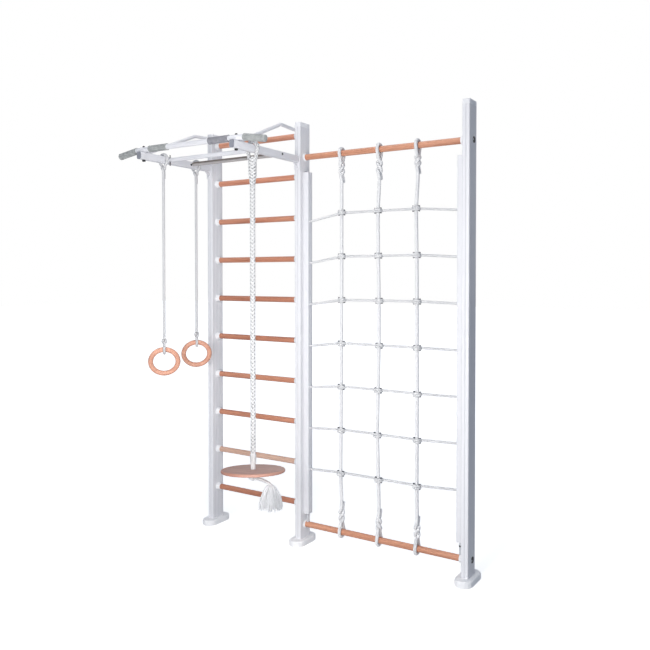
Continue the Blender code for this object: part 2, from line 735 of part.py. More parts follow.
def make_bracket(side, x):
    """A plate on the post's front with a spigot inside the arm and a gusset under it."""
    face = POST_FRONT - SEAT_GAP
    front = face - BRACKET_PLATE
    half = BRACKET_WIDTH / 2
    name = side + "_arm_bracket"
    plate = add(name, block(name, (x - half, front, ARM_LEVEL - BRACKET_DROP),
                            (x + half, face, ARM_LEVEL + BRACKET_RISE)), WHITE_STEEL)
    inside = 2 * (ARM_WALL + SEAT_GAP)
    spigot = extrude("spigot", [rounded(ARM_WIDTH - inside, ARM_HEIGHT - inside,
                                        ARM_CORNER - ARM_WALL - SEAT_GAP)], 0,
                     BRACKET_SPIGOT + BRACKET_PLATE / 2)
    peg = add(side + "_spigot", spigot)
    peg.matrix_world = forward(x, front + BRACKET_PLATE / 2, ARM_LEVEL)
    top = ARM_BOTTOM - SEAT_GAP
    low = ARM_LEVEL - BRACKET_DROP + GUSSET_THICKNESS / 2
    web = extrude("gusset", [[(front + BRACKET_PLATE / 2, top), (front - GUSSET_REACH, top),
                              (front - GUSSET_REACH, top - GUSSET_THICKNESS / 2),
                              (front + BRACKET_PLATE / 2, low)]],
                  -GUSSET_THICKNESS / 2, GUSSET_THICKNESS / 2)
    gusset = add(side + "_gusset", web)
    gusset.matrix_world = Matrix(((0, 0, 1, x), (1, 0, 0, 0), (0, 1, 0, 0), (0, 0, 0, 1)))
    boolean(plate, "UNION", peg)
    boolean(plate, "UNION", gusset)


def make_arm_plug(side, x):
    """A dark moulded plug in the arm's open front end."""
    name = side + "_arm_plug"
    front = -ARM_FRONT - SEAT_GAP
    face = extrude(name, [rounded(ARM_WIDTH - 2 * SEAT_GAP, ARM_HEIGHT - 2 * SEAT_GAP,
                                  ARM_CORNER)], 0, ARM_PLUG_FACE)
    plug = add(name, face, GREY_PLASTIC)
    plug.matrix_world = forward(x, front, ARM_LEVEL)
    soften(plug, ARM_PLUG_FACE / 4)
    inside = 2 * (ARM_WALL + SEAT_GAP)
    stem = add(side + "_plug_stem", extrude(
        "stem", [rounded(ARM_WIDTH - inside, ARM_HEIGHT - inside, ARM_CORNER - ARM_WALL - SEAT_GAP)],
        -ARM_PLUG_LENGTH, ARM_PLUG_FACE / 2))
    stem.matrix_world = forward(x, front, ARM_LEVEL)
    boolean(plug, "UNION", stem)


def pull_bar_points():
    """The pull-up bar's line: straight over both arms, then drooping a little at each end."""
    y, z = -PULL_BAR_REACH, PULL_BAR_LEVEL
    droop = Vector((math.cos(PULL_BAR_DROOP), 0, -math.sin(PULL_BAR_DROOP)))
    right_bend = Vector((MIDDLE_X + PULL_BAR_BEND_OUT, y, z))
    middle = (LEFT_X + MIDDLE_X) / 2
    half = [Vector((middle, y, z)), right_bend - RIGHT * PULL_BAR_DIAMETER / 2,
            right_bend + droop * PULL_BAR_DIAMETER / 2, right_bend + droop * PULL_BAR_END]
    mirrored = [Vector((2 * middle - point.x, point.y, point.z)) for point in half[:0:-1]]
    return mirrored + half


def make_pull_bar():
    """The pull-up bar on top of the arms, and the bolts that go down through both."""
    points = pull_bar_points()
    radius = PULL_BAR_DIAMETER / 2
    bar = add("pull_up_bar", tube("pull_up_bar", points, radius, radius - PULL_BAR_WALL),
              WHITE_STEEL)
    hole = FRAME_BOLT_DIAMETER / 2 + BORE_CLEARANCE
    for side, x in ARM_XS.items():
        drill = revolve("bar_drill", [(0, -PULL_BAR_DIAMETER), (hole, -PULL_BAR_DIAMETER),
                                      (hole, PULL_BAR_DIAMETER), (0, PULL_BAR_DIAMETER)], 12)
        boolean(bar, "DIFFERENCE",
                place(add(side + "_bar_drill", drill), (x, -PULL_BAR_REACH, PULL_BAR_LEVEL)))
        make_frame_bolt(side, x)


def make_frame_bolt(side, x):
    """A round-headed bolt through the pull-up bar and the arm, with its nut below."""
    shank = FRAME_BOLT_DIAMETER / 2
    head = FRAME_BOLT_HEAD / 2
    tall = FRAME_BOLT_HEAD_HEIGHT
    top = PULL_BAR_LEVEL + PULL_BAR_DIAMETER / 2 + SEAT_GAP
    nut = ARM_BOTTOM - SEAT_GAP
    bolt = revolve(side + "_frame_bolt", [
        (0, nut - tall * 1.6), (shank, nut - tall * 1.6), (shank, nut - tall), (head, nut - tall),
        (head, nut), (shank, nut), (shank, top), (head, top), (head * 0.9, top + tall * 0.5),
        (head * 0.5, top + tall), (0, top + tall)], 12)
    place(add(side + "_frame_bolt", bolt, BLACK_STEEL), (x, -PULL_BAR_REACH, 0))


def make_grips():
    """Four foam sleeves on the pull-up bar: open inside the arms, closed on the outer ends."""
    bore = PULL_BAR_DIAMETER / 2 + SEAT_GAP
    body = GRIP_DIAMETER / 2
    lip = body + GRIP_COLLAR
    low = GRIP_COLLAR * 3
    outer_bore = PULL_BAR_END - OUTER_GRIP_START + SEAT_GAP
    open_sleeve = [(bore, 0), (lip, 0), (lip, low), (body, low * 1.5), (body, GRIP_LENGTH - low * 1.5),
                   (lip, GRIP_LENGTH - low), (lip, GRIP_LENGTH), (bore, GRIP_LENGTH)]
    closed_sleeve = [(0, outer_bore), (bore, outer_bore), (bore, 0), (lip, 0), (lip, low),
                     (body, low * 1.5), (body, outer_bore - low),
                     (body * 0.97, outer_bore + GRIP_END_WALL * 0.4),
                     (body * 0.7, outer_bore + GRIP_END_WALL), (0, outer_bore + GRIP_END_WALL)]
    for side, x, inward in (("left", LEFT_X, 1), ("right", MIDDLE_X, -1)):
        inner = add(side + "_inner_grip", revolve("grip", open_sleeve, ring=True), GRIP_FOAM)
        place(inner, (x + inward * INNER_GRIP_START, -PULL_BAR_REACH, PULL_BAR_LEVEL),
              RIGHT * inward)
        droop = Vector((-inward * math.cos(PULL_BAR_DROOP), 0, -math.sin(PULL_BAR_DROOP)))
        bend = Vector((x - inward * PULL_BAR_BEND_OUT, -PULL_BAR_REACH, PULL_BAR_LEVEL))
        start = bend + droop * OUTER_GRIP_START
        outer = add(side + "_outer_grip", revolve("grip_end", closed_sleeve), GRIP_FOAM)
        place(outer, start, droop)


def make_cross_tubes():
    """Two tubes that tie the arms together."""
    radius = CROSS_DIAMETER / 2
    start = LEFT_X + ARM_WIDTH / 2 + SEAT_GAP
    end = MIDDLE_X - ARM_WIDTH / 2 - SEAT_GAP
    for name, reach, rise in (("front_cross_tube", FRONT_CROSS_REACH, FRONT_CROSS_RISE),
                              ("rear_cross_tube", REAR_CROSS_REACH, REAR_CROSS_RISE)):
        level = ARM_LEVEL + rise
        points = [Vector((start, -reach, level)), Vector((end, -reach, level))]
        add(name, tube(name, points, radius, radius - CROSS_WALL), WHITE_STEEL)


def bent(points, radius, steps=3):
    """A line with its inner corners rounded to a bend radius."""
    line = [points[0]]
    for before, corner, after in zip(points, points[1:], points[2:]):
        arriving = (corner - before).normalized()
        leaving = (after - corner).normalized()
        half = arriving.angle(leaving) / 2
        inward = (leaving - arriving).normalized()
        centre = corner + inward * radius / math.cos(half)
        sweep = 2 * half
        line += arc(centre, -inward, (arriving + leaving).normalized(), radius, -sweep / 2, sweep, steps)
    return line + [points[-1]]


def make_struts():
    """Bent stays from the front of each arm up to the inner side of its post."""
    radius = STRUT_DIAMETER / 2
    foot = ARM_TOP + SEAT_GAP + radius
    beside = HALF_WIDTH + SEAT_GAP + radius
    for side, x in ARM_XS.items():
        name = side + "_stay"
        inward = 1 if x < (LEFT_X + MIDDLE_X) / 2 else -1
        line = bent([Vector((x, -STRUT_FOOT_REACH, foot)),
                     Vector((x, -STRUT_FOOT_REACH + STRUT_FOOT_LENGTH, foot)),
                     Vector((x + inward * STRUT_TOP_SHIFT, -STRUT_TOP_REACH, STRUT_LEVEL)),
                     Vector((x + inward * beside, POST_FRONT, STRUT_LEVEL)),
                     Vector((x + inward * beside, POST_FRONT + STRUT_LAP, STRUT_LEVEL))],
                    STRUT_DIAMETER * 2)
        add(name, tube(name, line, radius, radius - STRUT_WALL, 12), WHITE_STEEL)


def pivot(name, at):
    """An empty on a joint's axis, which its moving pieces hang on."""
    empty = add_empty(name)
    empty.location = at
    return empty


def add_empty(name):
    empty = bpy.data.objects.new(name, None)
    bpy.context.scene.collection.objects.link(empty)
    return empty


def hang(piece, empty):
    """Parents a piece to a pivot and leaves it where it is."""
    piece.parent = empty
    piece.matrix_parent_inverse = Matrix.Translation(empty.location).inverted()
    return piece


def make_ring_set(side, reach, below, tail):
    """One gym ring and its rope, which is hitched to the left arm and to the ring."""
    arm = Vector((LEFT_X, -reach, ARM_LEVEL))
    flat = Vector((math.cos(RING_TURN), math.sin(RING_TURN), 0))
    facing_out = flat.cross(UP)
    radius = (RING_OUTER - RING_SECTION) / 2
    rise = UP * math.cos(RING_LEAN) + facing_out * math.sin(RING_LEAN)
    centre = Vector((LEFT_X, -reach, ARM_LEVEL - below))
    grasp = centre + rise * radius

    section = arc(Vector((radius, 0, 0)), RIGHT, UP, RING_SECTION / 2, 0, 2 * math.pi, 8)[:-1]
    ring = add(side + "_ring", revolve("ring", [(spot.x, spot.z) for spot in section], FINE_ROUND,
                                       ring=True), BEECH)
    place(ring, centre, rise.cross(flat))
    hang(ring, pivot(side + "_ring_pivot", grasp))

    down = (grasp - arm).normalized()
    side_way = BACK.cross(down).normalized()
    corner = math.hypot(ARM_WIDTH / 2 - ARM_CORNER, ARM_HEIGHT / 2 - ARM_CORNER) + ARM_CORNER
    arm_wrap = corner + RING_ROPE / 2 + WRAP_GAP
    ring_wrap = RING_SECTION / 2 + RING_ROPE / 2 + WRAP_GAP * 4
    upper = hitch(arm, down, side_way, arm_wrap, RING_ROPE, ARM_THROAT, ARM_TWIST_TURNS,
                  ARM_TWIST, ARM_TAIL)
    lower = hitch(grasp, -down, (-down).cross(flat).normalized(), ring_wrap, RING_ROPE,
                  RING_THROAT, RING_TWIST_TURNS, RING_TWIST, tail)
    middle = [arm + (grasp - arm) * share for share in (0.3, 0.5, 0.7)]
    points = upper[::-1] + middle + lower
    report_gap(side + "_ring_rope", points, RING_ROPE)
    cord = rope(side + "_ring_rope", points, RING_ROPE)
    hang(cord, pivot(side + "_ring_rope_pivot", arm))


def make_rope_loop():
    """The climbing rope's loop over the right arm and the splice that closes it."""
    arm = Vector((MIDDLE_X, -ROPE_REACH, ARM_LEVEL))
    corner = math.hypot(ARM_WIDTH / 2 - ARM_CORNER, ARM_HEIGHT / 2 - ARM_CORNER) + ARM_CORNER
    wrap = corner + LOOP_ROPE / 2 + WRAP_GAP
    throat = SPLICE_TOP_DROP + SPLICE_WIDTH / 2
    wide, touch = around(wrap, throat)
    leg = arm - UP * throat
    line = [leg] + arc(arm, -UP, RIGHT, wide, touch, 2 * (math.pi - touch), WRAP_STEPS) + [leg]
    line[0] = line[0] + RIGHT * LOOP_ROPE * 0.35
    line[-1] = line[-1] - RIGHT * LOOP_ROPE * 0.35
    eye = add("loop_eye", tube("loop_eye", line, LOOP_ROPE / 2))
    top = -SPLICE_TOP_DROP
    end = top - SPLICE_LENGTH
    ball = CLIMB_ROPE / 2
    fat = SPLICE_WIDTH / 2
    dish = ball + SEAT_GAP
    dish_angle = math.radians(48)
    profile = [(0, top), (fat * 0.75, top), (fat, top - fat * 0.5),
               (fat, top - SPLICE_LENGTH * 0.45), (ball * 1.15, end + ball), (ball, end),
               (dish * math.sin(dish_angle), end)]
    hollow = end - dish * math.cos(dish_angle)
    for share in (0.66, 0.33, 0):
        angle = dish_angle * share
        profile.append((dish * math.sin(angle), hollow + dish * math.cos(angle)))
    splice = add("climbing_rope_loop", revolve("climbing_rope_loop", profile[::-1], ROUND),
                 WHITE_ROPE)
    place(splice, arm)
    boolean(splice, "UNION", eye)
    hang(splice, pivot("rope_loop_pivot", arm))
    return arm + UP * hollow


def make_climbing_rope(swing):
    """The climbing rope: a ball end at the splice, then straight down through the seat."""
    radius = CLIMB_ROPE / 2
    seat_normal = seat_axis()
    under = SEAT_THICKNESS / 2 / seat_normal.z
    length = swing.z - (SEAT_LEVEL - under - radius * math.tan(SEAT_TILT))
    profile = [(0, -length), (radius, -length)]
    for angle in (0, 30, 60):
        turn = math.radians(angle)
        profile.append((radius * math.cos(turn), radius * math.sin(turn)))
    profile.append((0, radius))
    cord = add("climbing_rope", revolve("climbing_rope", profile, ROUND), WHITE_ROPE)
    place(cord, swing)
    return hang(cord, pivot("rope_pivot", swing))


def seat_axis():
    """The seat's own axis, tipped back from the viewer by the knot below it."""
    lean = Vector((-math.sin(math.radians(38)), math.cos(math.radians(38)), 0))
    return (UP * math.cos(SEAT_TILT) + lean * math.sin(SEAT_TILT)).normalized()


def make_seat():
    """The wooden disc, bored for the rope, with its edges rounded over."""
    bore = CLIMB_ROPE / 2 + SEAT_BORE_CLEARANCE
    rim = SEAT_DIAMETER / 2
    half = SEAT_THICKNESS / 2
    soft = SEAT_THICKNESS * 0.3
    profile = [(bore, -half), (rim - soft, -half), (rim - soft * 0.3, -half + soft * 0.3),
               (rim, -half + soft), (rim, half - soft), (rim - soft * 0.3, half - soft * 0.3),
               (rim - soft, half), (bore, half)]
    seat = add("disc_seat", revolve("disc_seat", profile, FINE_ROUND, ring=True), SEAT_WOOD)
    centre = Vector((MIDDLE_X, -ROPE_REACH, SEAT_LEVEL))
    place(seat, centre, seat_axis())
    return hang(seat, pivot("seat_pivot", centre))


def make_rope_tail():
    """The knot that carries the seat, the rope's bent tail and its frayed tassel."""
    axis = seat_axis()
    under = SEAT_THICKNESS / 2
    knot_top = Vector((MIDDLE_X, -ROPE_REACH, SEAT_LEVEL)) - axis * (under + SEAT_GAP * 2)
    wide = KNOT_DIAMETER / 2
    hole = CLIMB_ROPE / 2 + SEAT_BORE_CLEARANCE
    knot = add("rope_tail", revolve("rope_tail", [
        (0, -KNOT_HEIGHT), (wide * 0.6, -KNOT_HEIGHT), (wide * 0.95, -KNOT_HEIGHT * 0.7),
        (wide, -KNOT_HEIGHT * 0.4), (wide * 0.9, -KNOT_HEIGHT * 0.1), (wide * 0.7, 0),
        (hole, 0), (hole, -KNOT_HEIGHT * 0.2), (0, -KNOT_HEIGHT * 0.2)], ROUND), WHITE_ROPE)
    place(knot, knot_top, axis)
    start = knot_top - UP * KNOT_HEIGHT * 0.6
    head = start + Vector((0.082, 0, -0.022))
    line = [start, start + Vector((0.026, 0, -0.003)), start + Vector((0.056, 0, -0.009)), head,
            head + Vector((0.014, 0, -0.024)), head + Vector((0.017, 0, -0.045))]
    boolean(knot, "UNION", add("tail_line", tube("tail_line", line, TAIL_ROPE / 2, segments=10)))
    brush = add("tassel_brush", tassel_mesh())
    place(brush, line[-2])
    boolean(knot, "UNION", brush)
    return hang(knot, bpy.data.objects["rope_pivot"])


def tassel_mesh():
    """A flared brush of rope yarns, gathered in lobes round its foot."""
    bm = bmesh.new()
    count = TASSEL_LOBES * 3
    rings = []
    for share, width, depth in ((0, 0.10, 0.0), (0.12, 0.17, 0.0), (0.35, 0.30, 0.05),
                                (0.65, 0.44, 0.10), (0.9, 0.50, 0.14), (1, 0.42, 0.16)):
        ring = []
        for step in range(count):
            angle = 2 * math.pi * step / count
            radius = TASSEL_WIDTH * width * (1 + depth * math.cos(TASSEL_LOBES * angle))
            ring.append(bm.verts.new((radius * math.cos(angle), radius * math.sin(angle),
                                      -TASSEL_LENGTH * share)))
        rings.append(ring)
    skin(bm, rings)
    bm.faces.new(rings[0])
    bm.faces.new(rings[-1])
    return to_mesh(bm, "tassel_brush", smooth=True)


clear_scene()
make_posts()
make_caps_and_feet()
make_rungs()
make_net_bars()
make_rails()
make_upright_ropes()
make_cross_ropes()
make_arms()
make_pull_bar()
make_grips()
make_cross_tubes()
make_struts()
make_ring_set("front", FRONT_RING_REACH, FRONT_RING_BELOW_ARM, FRONT_RING_TAIL)
make_ring_set("rear", REAR_RING_REACH, REAR_RING_BELOW_ARM, REAR_RING_TAIL)
make_climbing_rope(make_rope_loop())
make_seat()
make_rope_tail()
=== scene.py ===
"""Looks of the children's wall bars: ladder, knotted net, pull-up frame, gym rings and rope.

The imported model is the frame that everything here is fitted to. Sizes are in metres: X runs along
the wall from the ladder to the net, Y points at the wall, and Z is up from the floor.
"""

import math

import bpy
import numpy as np
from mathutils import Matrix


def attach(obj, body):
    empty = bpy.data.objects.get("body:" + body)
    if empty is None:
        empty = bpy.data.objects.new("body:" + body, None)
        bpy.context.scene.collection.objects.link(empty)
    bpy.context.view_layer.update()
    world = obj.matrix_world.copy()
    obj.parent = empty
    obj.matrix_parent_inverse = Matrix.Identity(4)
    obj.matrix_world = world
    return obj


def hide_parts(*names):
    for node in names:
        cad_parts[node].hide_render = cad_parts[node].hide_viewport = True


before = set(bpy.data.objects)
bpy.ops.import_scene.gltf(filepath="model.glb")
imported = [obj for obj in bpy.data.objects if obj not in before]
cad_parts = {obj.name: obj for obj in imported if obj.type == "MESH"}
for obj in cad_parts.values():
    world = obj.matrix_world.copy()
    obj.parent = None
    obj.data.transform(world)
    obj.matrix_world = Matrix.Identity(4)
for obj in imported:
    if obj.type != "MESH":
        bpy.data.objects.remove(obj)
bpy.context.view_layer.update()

# Camera
# It stands 3.3 m before the wall bars and 2.3 m to the right of the middle post, 1.5 m above the
# floor, and looks 32 degrees to the left and about one degree down.
CAMERA_PLACE = (2.2596, -3.3063, 1.5022)
CAMERA_TURN = 32.21
CAMERA_TIP = -1.13

camera = bpy.data.objects.new("camera", bpy.data.cameras.new("camera"))
camera.data.sensor_width = 36
camera.data.lens = 39.4
camera.data.shift_x = -0.0060
camera.data.shift_y = -0.0528
camera.location = CAMERA_PLACE
camera.rotation_euler = (math.radians(90 + CAMERA_TIP), 0, math.radians(CAMERA_TURN))
bpy.context.scene.collection.objects.link(camera)
bpy.context.scene.camera = camera

# Ring ropes
# Braided white cord, hitched round the left arm above and round the wooden ring below. In each
# hitch the end goes round its bar, twists with the standing part and stops in a short tail.
LEFT_X = -0.643
ARM_LEVEL = 2.153
ARM_WIDTH = 0.030
ARM_HEIGHT = 0.040
ARM_CORNER = 0.008
RING_ROPE = 0.015
ROPE_GAP = 0.0006
RING_SECTION = 0.028
RING_RADIUS = 0.075
RING_SETS = {"front": (-0.430, 1.027, 0.022), "rear": (-0.168, 1.0475, 0.006)}
RING_LEAN = math.radians(22)
RING_TURN = math.radians(45)
ARM_HITCH = {"throat": 0.041, "turns": -0.34, "twist": 0.014, "tail": 0.026}
RING_HITCH = {"throat": 0.032, "turns": 0.5, "twist": 0.028}
UP = np.array([0.0, 0.0, 1.0])
RIGHT = np.array([1.0, 0.0, 0.0])
BACK = np.array([0.0, 1.0, 0.0])


def arc(centre, first, second, radius, start, span, drift=0.0, step=0.15):
    """Points centre + radius * (first * cos a + second * sin a) + drift * share, with a from start
    over its span in steps of about 0.15 rad, and share from 0 to 1."""
    share = np.linspace(0, 1, max(3, int(abs(span) / step)))[:, None]
    angle = start + span * share
    return centre + radius * (first * np.cos(angle) + second * np.sin(angle)) + drift * share


def even(points, spacing, ease):
    """The line through the points at an even spacing, its corners eased by a running mean that
    is ease long, with the ends kept."""
    run = np.concatenate([[0], np.linalg.norm(np.diff(points, axis=0), axis=1).cumsum()])
    fine = np.arange(0, run[-1], spacing / 4)
    line = np.stack([np.interp(fine, run, points[:, axis]) for axis in range(3)], 1)
    half = max(1, int(ease / spacing * 2))
    padded = np.concatenate([2 * line[0] - line[half:0:-1], line, 2 * line[-1] - line[-2:-half - 2:-1]])
    window = np.hanning(2 * half + 3)[1:-1]
    window /= window.sum()
    line = np.stack([np.convolve(padded[:, axis], window, "valid") for axis in range(3)], 1)
    return line[::4]


def hitch(bar, away, side, wrap, rope, throat, turns, twist, tail):
    """A rope end thrown round a bar. The standing part winds through so many turns of a twist to
    the throat, goes round the circle of radius wrap, and comes back through the twist on the
    other side to a tail beside itself. The circle starts at the angle atan(apart / throat) +
    acos(wrap / distance), where the line from the throat touches it."""
    apart = (rope + ROPE_GAP) / 2
    touch = math.atan2(apart, throat) + math.acos(wrap / math.hypot(throat, apart))
    across = np.cross(away, side)
    first = bar + away * throat
    angle = 2 * math.pi * turns
    standing = arc(first, side, across, apart, 0, angle, away * twist)
    ending = arc(first, side, across, apart, math.pi, angle, away * twist)
    spoke = (ending[-1] - standing[-1]) / 2
    ease = away * rope * 1.4
    return np.concatenate([[first + away * twist + ease], standing[::-1],
                           arc(bar, away, side, wrap, touch, 2 * (math.pi - touch)), ending,
                           [ending[-1] + spoke + ease, ending[-1] + spoke + ease + away * tail]])


def frames(path):
    """Tangent, normal and cross vectors along a path. The normal comes from one slanted guide
    vector, and the twist that the guide adds is summed along the path and turned back."""
    tangent = np.gradient(path, axis=0)
    tangent /= np.linalg.norm(tangent, axis=1, keepdims=True)
    guide = np.array([0.5, 0.31, 0.81])
    normal = guide - tangent * (tangent @ guide)[:, None]
    normal /= np.linalg.norm(normal, axis=1, keepdims=True)
    cross = np.cross(tangent, normal)
    twist = np.concatenate([[0], ((normal[1:] - normal[:-1]) * (cross[1:] + cross[:-1])).sum(1) / 2])
    angle = -np.cumsum(twist)[:, None]
    steady = normal * np.cos(angle) + cross * np.sin(angle)
    return tangent, steady, np.cross(tangent, steady)


def sweep(path, radius, sides, outward=None, flat=1.0):
    """A tube: path + radius * (normal * cos a + cross * flat * sin a). The radius is one number or
    one for each point of the path, and outward sets the normals where they matter."""
    tangent, normal, cross = frames(path)
    if outward is not None:
        normal = outward - tangent * (outward * tangent).sum(1, keepdims=True)
        normal /= np.linalg.norm(normal, axis=1, keepdims=True)
        cross = np.cross(tangent, normal)
    angle = np.linspace(0, 2 * np.pi, sides, endpoint=False)[None, :, None]
    radius = np.broadcast_to(radius, len(path))[:, None, None]
    spoke = normal[:, None] * np.cos(angle) + cross[:, None] * flat * np.sin(angle)
    return path[:, None] + radius * spoke


def skin(name, sheets, material, body="frame", closed=False, sharp=40):
    """A mesh from sheets of points. A sheet holds rings of points: each ring is closed round and
    joined to the next, and the end rings are capped, or joined to each other where closed is set.
    Its UV map holds the distance along the sheet in metres and the share of the way round."""
    points, faces, spots, count = [], [], [], 0
    for sheet in sheets:
        rings, around = sheet.shape[:2]
        index = count + np.arange(rings * around).reshape(rings, around)
        middle = sheet.mean(1)
        run = np.concatenate([[0], np.linalg.norm(np.diff(sheet[:, 0], axis=0), axis=1).cumsum()])
        if closed:
            index = np.concatenate([index, index[:1]])
            run = np.append(run, run[-1] + np.linalg.norm(middle[0] - middle[-1]))
        ahead = np.roll(index, -1, axis=1)
        faces += np.stack([index[:-1], ahead[:-1], ahead[1:], index[1:]], -1).reshape(-1, 4).tolist()
        share = np.arange(around) / around
        low = np.meshgrid(run[:-1], share, indexing="ij")
        high = np.meshgrid(run[1:], share, indexing="ij")
        step = 1 / around
        corners = [(low[0], low[1]), (low[0], low[1] + step), (high[0], high[1] + step), (high[0], high[1])]
        spots.append(np.stack([np.stack(corner, -1) for corner in corners], -2).reshape(-1, 2))
        if not closed:
            faces += [index[0, ::-1].tolist(), index[-1].tolist()]
            spots += [np.stack([np.full(around, end), edge], 1)
                      for end, edge in ((run[0], share[::-1]), (run[-1], share))]
        points.append(sheet.reshape(-1, 3))
        count += rings * around
    mesh = bpy.data.meshes.new(name)
    mesh.from_pydata(np.concatenate(points), [], faces)
    mesh.uv_layers.new(name="run").data.foreach_set("uv", np.concatenate(spots).ravel())
    mesh.materials.append(material)
    mesh.shade_smooth()
    mesh.set_sharp_from_angle(angle=math.radians(sharp))
    piece = bpy.data.objects.new(name, mesh)
    bpy.context.scene.collection.objects.link(piece)
    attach(piece, body)
    return piece


def put(tree, kind, inputs, **settings):
    """A shader node with its settings made and its inputs filled: a socket is linked, and any
    other value is set."""
    made = tree.nodes.new(kind)
    for key, value in settings.items():
        setattr(made, key, value)
    for key, value in inputs.items():
        if isinstance(value, bpy.types.NodeSocket):
            tree.links.new(value, made.inputs[key])
        else:
            made.inputs[key].default_value = value
    return made


def reckon(tree, operation, *values):
    """The result of a Math node for its values."""
    return put(tree, "ShaderNodeMath", dict(enumerate(values)), operation=operation).outputs[0]


def remap(tree, value, *limits):
    """A value moved in proportion from one range to another and held at its ends. The limits are
    the first range's low and high, then the second's."""
    return put(tree, "ShaderNodeMapRange", dict(enumerate((value, *limits)))).outputs[0]


def noise(tree, where, scale, detail):
    """Cloudy noise from 0 to 1, with about so many clouds to a metre."""
    return put(tree, "ShaderNodeTexNoise", {"Vector": where, "Scale": scale, "Detail": detail}).outputs[0]


def place_on(tree):
    """Object coordinates, which are metres in the model's own frame."""
    return put(tree, "ShaderNodeTexCoord", {}).outputs["Object"]


def axes_of(tree, vector):
    """The three parts of a vector."""
    return put(tree, "ShaderNodeSeparateXYZ", {0: vector}).outputs


def run_of(tree):
    """The two parts of the UV map that skin makes: metres along a cord, and the share of the way
    round it."""
    return axes_of(tree, put(tree, "ShaderNodeUVMap", {}, uv_map="run").outputs[0])[:2]


def emboss(tree, shader, height, strength, distance):
    """A Bump node on the shader's normal, for a height from 0 to 1 that stands for the distance."""
    bump = put(tree, "ShaderNodeBump", {"Height": height, "Strength": strength, "Distance": distance})
    tree.links.new(bump.outputs[0], shader.inputs["Normal"])
    return bump


def mixed(tree, share, first, second, blend_type="MIX"):
    """A colour that goes from the first to the second as the share goes from 0 to 1."""
    ends = [end if isinstance(end, bpy.types.NodeSocket) else (*end, 1) for end in (first, second)]
    inputs = {0: share, 6: ends[0], 7: ends[1]}
    return put(tree, "ShaderNodeMix", inputs, data_type="RGBA", blend_type=blend_type).outputs[2]


def tint(tree, colour, share, dark=0.35):
    """A colour that falls towards a darker one of the same hue as the share falls from 1 to 0."""
    return mixed(tree, share, [part * dark for part in colour], colour)


def effect(name, inputs, outputs):
    """A shader node group with named number, vector and colour sockets, and its two end nodes."""
    kinds = {"number": "NodeSocketFloat", "vector": "NodeSocketVector", "colour": "NodeSocketColor"}
    tree = bpy.data.node_groups.new(name, "ShaderNodeTree")
    for title, kind in inputs.items():
        tree.interface.new_socket(title, in_out="INPUT", socket_type=kinds[kind])
    for title, kind in outputs.items():
        tree.interface.new_socket(title, in_out="OUTPUT", socket_type=kinds[kind])
    return tree, tree.nodes.new("NodeGroupInput").outputs, tree.nodes.new("NodeGroupOutput").inputs


def finish(name, colour, roughness, metallic=0.0, **more):
    """A material with its tree and its Principled BSDF."""
    made = bpy.data.materials.new(name)
    made.use_nodes = True
    made.diffuse_color = (*colour, 1)
    shader = made.node_tree.nodes["Principled BSDF"]
    shader.inputs["Base Color"].default_value = (*colour, 1)
    shader.inputs["Roughness"].default_value = roughness
    shader.inputs["Metallic"].default_value = metallic
    for key, value in more.items():
        shader.inputs[key.replace("_", " ").title()].default_value = value
    return made, made.node_tree, shader


def braid_effect():
    """Yarns that cross on the bias round a cord: the root of |sin(2 pi (u + v)) sin(2 pi (u - v))|,
    where u is yarns * share round and v is metres along / pitch, from the UV map."""
    tree, given, out = effect("braid", {"Yarns": "number", "Pitch": "number"},
                              {"Height": "number", "Shade": "number"})
    along, around = run_of(tree)
    turn = reckon(tree, "MULTIPLY", around, given["Yarns"])
    reach = reckon(tree, "DIVIDE", along, given["Pitch"])
    waves = []
    for operation in ("ADD", "SUBTRACT"):
        slant = reckon(tree, operation, turn, reach)
        waves.append(reckon(tree, "SINE", reckon(tree, "MULTIPLY", slant, 2 * math.pi)))
    lift = reckon(tree, "ABSOLUTE", reckon(tree, "MULTIPLY", *waves))
    crown = reckon(tree, "POWER", lift, 0.5)
    tree.links.new(crown, out["Height"])
    # Shade is painted shade: the cord is darker in the valleys between the yarns.
    tree.links.new(remap(tree, crown, 0.0, 0.8, 0.86, 1.0), out["Shade"])
    return tree


BRAID = braid_effect()


def cord_finish(name, colour, yarns, pitch, depth):
    """Braided cord: matt fibre, with painted shade between the yarns, and with soft mottling along its
    length.
    """
    made, tree, shader = finish(name, colour, 0.82, sheen_weight=0.15, sheen_roughness=0.5)
    braid = put(tree, "ShaderNodeGroup", {}, node_tree=BRAID)
    braid.inputs["Yarns"].default_value = yarns
    braid.inputs["Pitch"].default_value = pitch
    where = place_on(tree)
    soil = remap(tree, noise(tree, where, 60.0, 4.0), 0.3, 0.75, 0.95, 1.0)
    # The mottling times the painted shade between the yarns.
    both = reckon(tree, "MULTIPLY", soil, braid.outputs["Shade"])
    tree.links.new(tint(tree, colour, both), shader.inputs["Base Color"])
    height = reckon(tree, "MULTIPLY_ADD", noise(tree, where, 900.0, 2.0), 0.25, braid.outputs["Height"])
    emboss(tree, shader, height, 0.6, depth)
    return made


